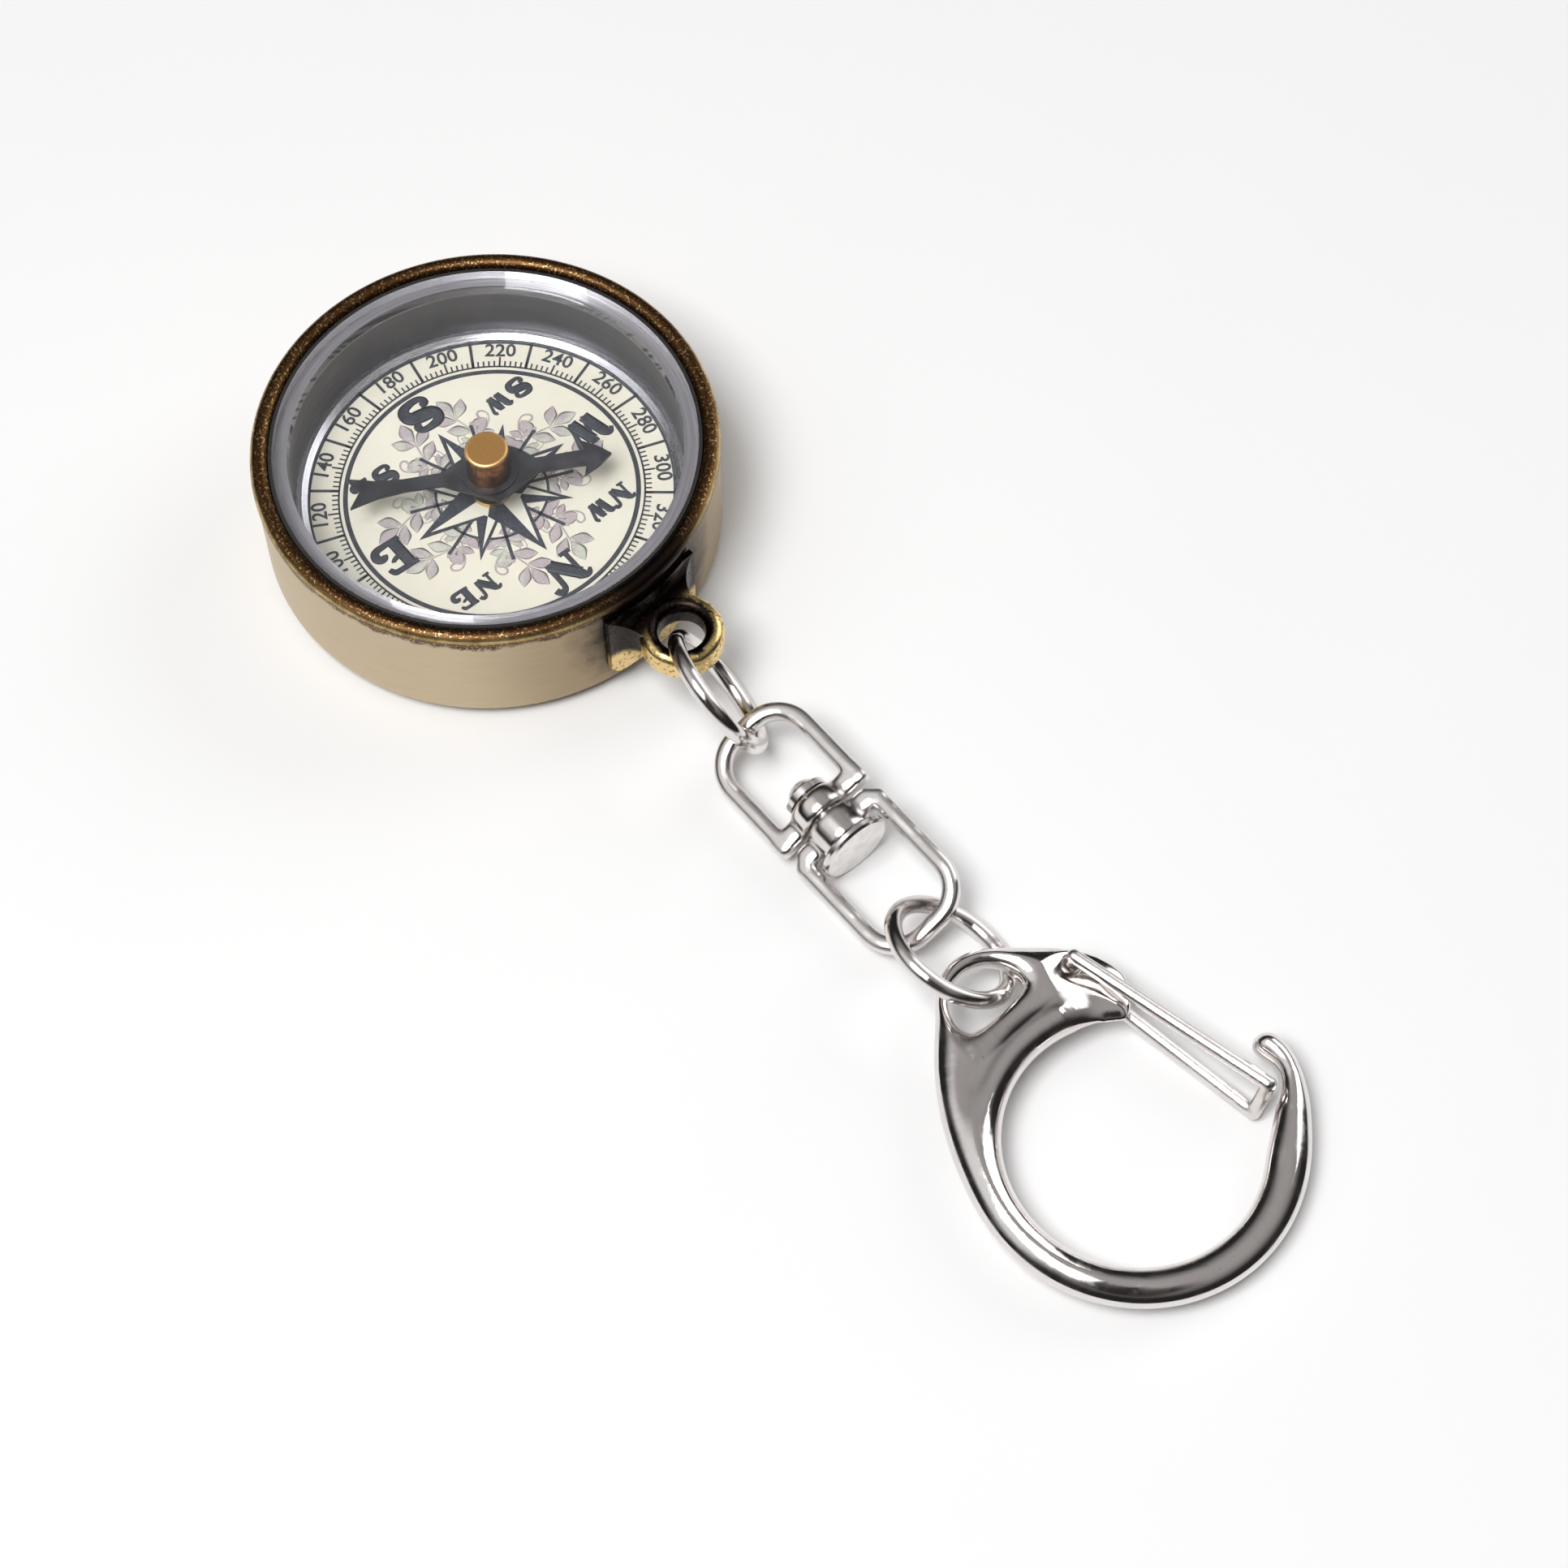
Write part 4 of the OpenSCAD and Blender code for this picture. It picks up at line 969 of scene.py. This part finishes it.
class COMPASS_OT_letters(CompassOperator, Operator):
    """Print the letters of the eight directions"""
    bl_idname = "compass.letters"
    bl_label = "Print the letters"

    def execute(self, context):
        sizes, looks = self.shared(context)
        strokes = []
        for index, word in enumerate(("N", "NE", "E", "SE", "S", "SW", "W", "NW")):
            radius, height = ((sizes.pair_radius, sizes.pair_height) if len(word) > 1
                              else (sizes.letter_radius, sizes.letter_height))
            strokes += word_strokes(sizes, word, 45 * index, radius, height)
        low = DIAL_FACE + sizes.ink_height
        mesh = strokes_mesh("dial_letters", strokes, low, low + 2 * sizes.ink_height)
        printed("dial_letters", mesh, DIAL_INK, looks)
        return {"FINISHED"}


class COMPASS_OT_star(CompassOperator, Operator):
    """Print the star of sixteen directions with its thin circle"""
    bl_idname = "compass.star"
    bl_label = "Print the star"

    def execute(self, context):
        sizes, looks = self.shared(context)
        layer, tip = sizes.ink_height, sizes.star_radius
        dark, light = bmesh.new(), bmesh.new()
        low = DIAL_FACE + layer
        flat_ring(dark, sizes.star_circle, STAR_RING * sizes.line_width, low, low + layer,
                  STAR_STEPS)
        for index in range(8):
            flat_bar(dark, dial_turn(sizes, 45 * index + BETWEEN_LETTERS), RAY_START * tip,
                     RAY_END * tip, STAR_RAY * sizes.line_width, low, low + layer)
        for index in (1, 3, 5, 7, 0, 2, 4, 6):
            reach, hip, level = SMALL_POINT if index % 2 else MAIN_POINT
            reach, hip, level = reach * tip, hip * tip, DIAL_FACE + level * layer
            line, turn = THIN * sizes.line_width, sizes.north - radians(45 * index)
            for shape, height, corners in (
                    (dark, layer, ((0, 0), (hip, -hip), (reach, 0))),
                    (light, 0.8 * layer, ((0, 0), (reach, 0), (hip, hip))),
                    (dark, layer, ((reach, 0), (reach - 8 * line, 0),
                                   (hip + line, hip - 2 * line), (hip, hip)))):
                flat_polygon(shape, [turned_point(*corner, turn) for corner in corners],
                             level, level + height)
        for name, shape, finish in (("dial_star", dark, DIAL_INK),
                                    ("dial_star_light", light, STAR_PAPER)):
            bmesh.ops.recalc_face_normals(shape, faces=shape.faces)
            printed(name, mesh_from(name, shape), finish, looks)
        return {"FINISHED"}


class COMPASS_OT_smooth_castings(CompassOperator, Operator):
    """Cover the hook and the swivel's two links with smooth skins of the same shape"""
    bl_idname = "compass.smooth_castings"
    bl_label = "Smooth the castings"

    def execute(self, context):
        _sizes, looks = self.shared(context)
        for node, (body, slot, grid, rounds) in SKINS.items():
            shape = bmesh.new()
            shape.from_mesh(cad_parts[node].data)
            bmesh.ops.remove_doubles(shape, verts=shape.verts, dist=SAME_PLACE)
            made = piece(node + "_skin", mesh_from(node + "_skin", shape), body,
                         named_material(*NODE_FINISHES[node], looks))
            even = made.modifiers.new("Even grid", "REMESH")
            even.mode, even.voxel_size, even.use_smooth_shade = "VOXEL", grid, True
            soft = made.modifiers.new("Softened", "SMOOTH")
            soft.factor, soft.iterations = 0.5, rounds
            if node == "hook_body":
                self.crown(context, made)
            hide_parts(node)
        return {"FINISHED"}

    def crown(self, context, made):
        """Lower the hook's flats towards their edges, as tumbling wears them."""
        graph = context.evaluated_depsgraph_get()
        worn = bpy.data.meshes.new_from_object(made.evaluated_get(graph), depsgraph=graph)
        finish = made.material_slots[0].material
        shape = bmesh.new()
        shape.from_mesh(worn)
        low, high = (edge.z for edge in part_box("hook_body"))
        level = (low + high) / 2
        sides = [vert.co.xy.to_3d() for vert in shape.verts if abs(vert.normal.z) < SIDE_SLOPE]
        tree = KDTree(len(sides))
        for index, place in enumerate(sides):
            tree.insert(place, index)
        tree.balance()
        for vert in shape.verts:
            away = tree.find(vert.co.xy.to_3d())[2]
            near = max(0.0, 1 - away / CROWN_REACH)
            vert.co.z = level + (vert.co.z - level) * (1 - CROWN_DEPTH * near ** 2)
        corner = Vector(WORN_CORNER)
        worn_verts = [vert for vert in shape.verts
                      if (vert.co.xy.to_3d() - corner).length < CORNER_REACH]
        for _round in range(CORNER_ROUNDS):
            bmesh.ops.smooth_vert(shape, verts=worn_verts, factor=0.5, use_axis_x=True,
                                  use_axis_y=True, use_axis_z=True)
        shape.to_mesh(worn)
        shape.free()
        made.modifiers.clear()
        made.data = worn
        worn.materials.clear()
        worn.materials.append(finish)


class COMPASS_OT_stage(CompassOperator, Operator):
    """Set the camera, the soft lights and the pale floor"""
    bl_idname = "compass.stage"
    bl_label = "Set the stage"

    def execute(self, context):
        stage = context.scene.compass_stage
        lens = bpy.data.cameras.new("camera")
        lens.lens, lens.sensor_width, lens.sensor_fit = stage.lens, 36, "AUTO"
        lens.clip_start, lens.clip_end = 0.01, 10
        camera = add_object("camera", lens)
        camera.location = stage.camera_place
        sight = (Vector(stage.camera_target) - Vector(stage.camera_place)).to_track_quat("-Z", "Y")
        camera.rotation_mode = "QUATERNION"
        camera.rotation_quaternion = sight @ Quaternion((0, 0, 1), stage.camera_roll)
        context.scene.camera = camera

        shape = bmesh.new()
        bmesh.ops.create_grid(shape, x_segments=4, y_segments=4, size=stage.floor_size / 2)
        floor = add_object("floor", mesh_from("floor", shape))

        def floor_nodes(tree):
            grain = noise(tree, object_place(tree), FLOOR_GRAIN)
            shade = [FLOOR_SHADE * value for value in stage.floor_colour]
            return {"Base Color": blend(tree, grain, stage.floor_colour, shade),
                    "Roughness": 0.7, "Specular IOR Level": 0.2}

        floor.data.materials.append(material("Pale floor", floor_nodes))

        for lamp in LAMPS:
            self.add_lamp(*lamp)
        self.set_sky(context)
        context.scene.view_settings.view_transform = "Standard"
        return {"FINISHED"}

    def add_lamp(self, name, place, size, power):
        """Add a square soft box that faces the middle of the object."""
        light = bpy.data.lights.new(name, "AREA")
        light.shape, light.size, light.energy = "SQUARE", size, power
        lamp = add_object(name, light)
        lamp.location = place
        lamp.rotation_mode = "QUATERNION"
        lamp.rotation_quaternion = (LAMP_TARGET - Vector(place)).to_track_quat("-Z", "Y")

    def set_sky(self, context):
        """Dark room under a grey ceiling, with a soft box and a dark place at the camera."""
        world = bpy.data.worlds.new("Room")
        tree, out = empty_tree(world, "ShaderNodeOutputWorld")
        way = put(tree, "ShaderNodeTexCoord").outputs["Generated"]
        wobble = noise(tree, way, 2.2, 1.0)
        camera_side = add_part(tree, wobble, 0.2, distance_to(tree, way, CAMERA_SIDE))
        soft_box = add_part(tree, wobble, 0.3, distance_to(tree, way, SOFT_BOX))
        height = put(tree, "ShaderNodeSeparateXYZ", {0: way}).outputs[2]
        tone = blend(tree, step_between(tree, height, 0.42, 0.95), ROOM_LOW, ROOM_HIGH)
        tone = blend(tree, step_between(tree, soft_box, 0.42, 0.82), SOFT_BOX_TONE, tone)
        tone = blend(tree, step_between(tree, camera_side, 0.36, 0.56), CAMERA_SIDE_TONE, tone)
        back = put(tree, "ShaderNodeBackground", {"Color": tone, "Strength": ROOM_STRENGTH})
        tree.links.new(back.outputs[0], out)
        context.scene.world = world


class COMPASS_PT_finish(Panel):
    """Buttons and values of the compass"""
    bl_idname = "COMPASS_PT_finish"
    bl_label = "Pocket compass"
    bl_space_type = "VIEW_3D"
    bl_region_type = "UI"
    bl_category = "Compass"

    def draw(self, context):
        for operator in OPERATORS:
            self.layout.operator(operator.bl_idname)
        for group in (context.scene.compass_dial, context.scene.compass_finishes,
                      context.scene.compass_stage):
            box = self.layout.box()
            for name in group.bl_rna.properties.keys():
                if name not in {"rna_type", "name"}:
                    box.prop(group, name)


OPERATORS = (
    COMPASS_OT_stage, COMPASS_OT_node_finishes, COMPASS_OT_scale_ring, COMPASS_OT_numbers,
    COMPASS_OT_leaves, COMPASS_OT_star, COMPASS_OT_letters, COMPASS_OT_smooth_castings,
)
GROUPS = (DialSizes, Finishes, StageSizes)


def register():
    for item in (*GROUPS, *OPERATORS, COMPASS_PT_finish):
        bpy.utils.register_class(item)
    bpy.types.Scene.compass_dial = PointerProperty(type=DialSizes)
    bpy.types.Scene.compass_finishes = PointerProperty(type=Finishes)
    bpy.types.Scene.compass_stage = PointerProperty(type=StageSizes)


def unregister():
    for name in ("compass_dial", "compass_finishes", "compass_stage"):
        delattr(bpy.types.Scene, name)
    for item in reversed((*GROUPS, *OPERATORS, COMPASS_PT_finish)):
        bpy.utils.unregister_class(item)


def main():
    register()
    for operator in OPERATORS:
        group, name = operator.bl_idname.split(".")
        getattr(getattr(bpy.ops, group), name)()


if __name__ == "__main__":
    main()
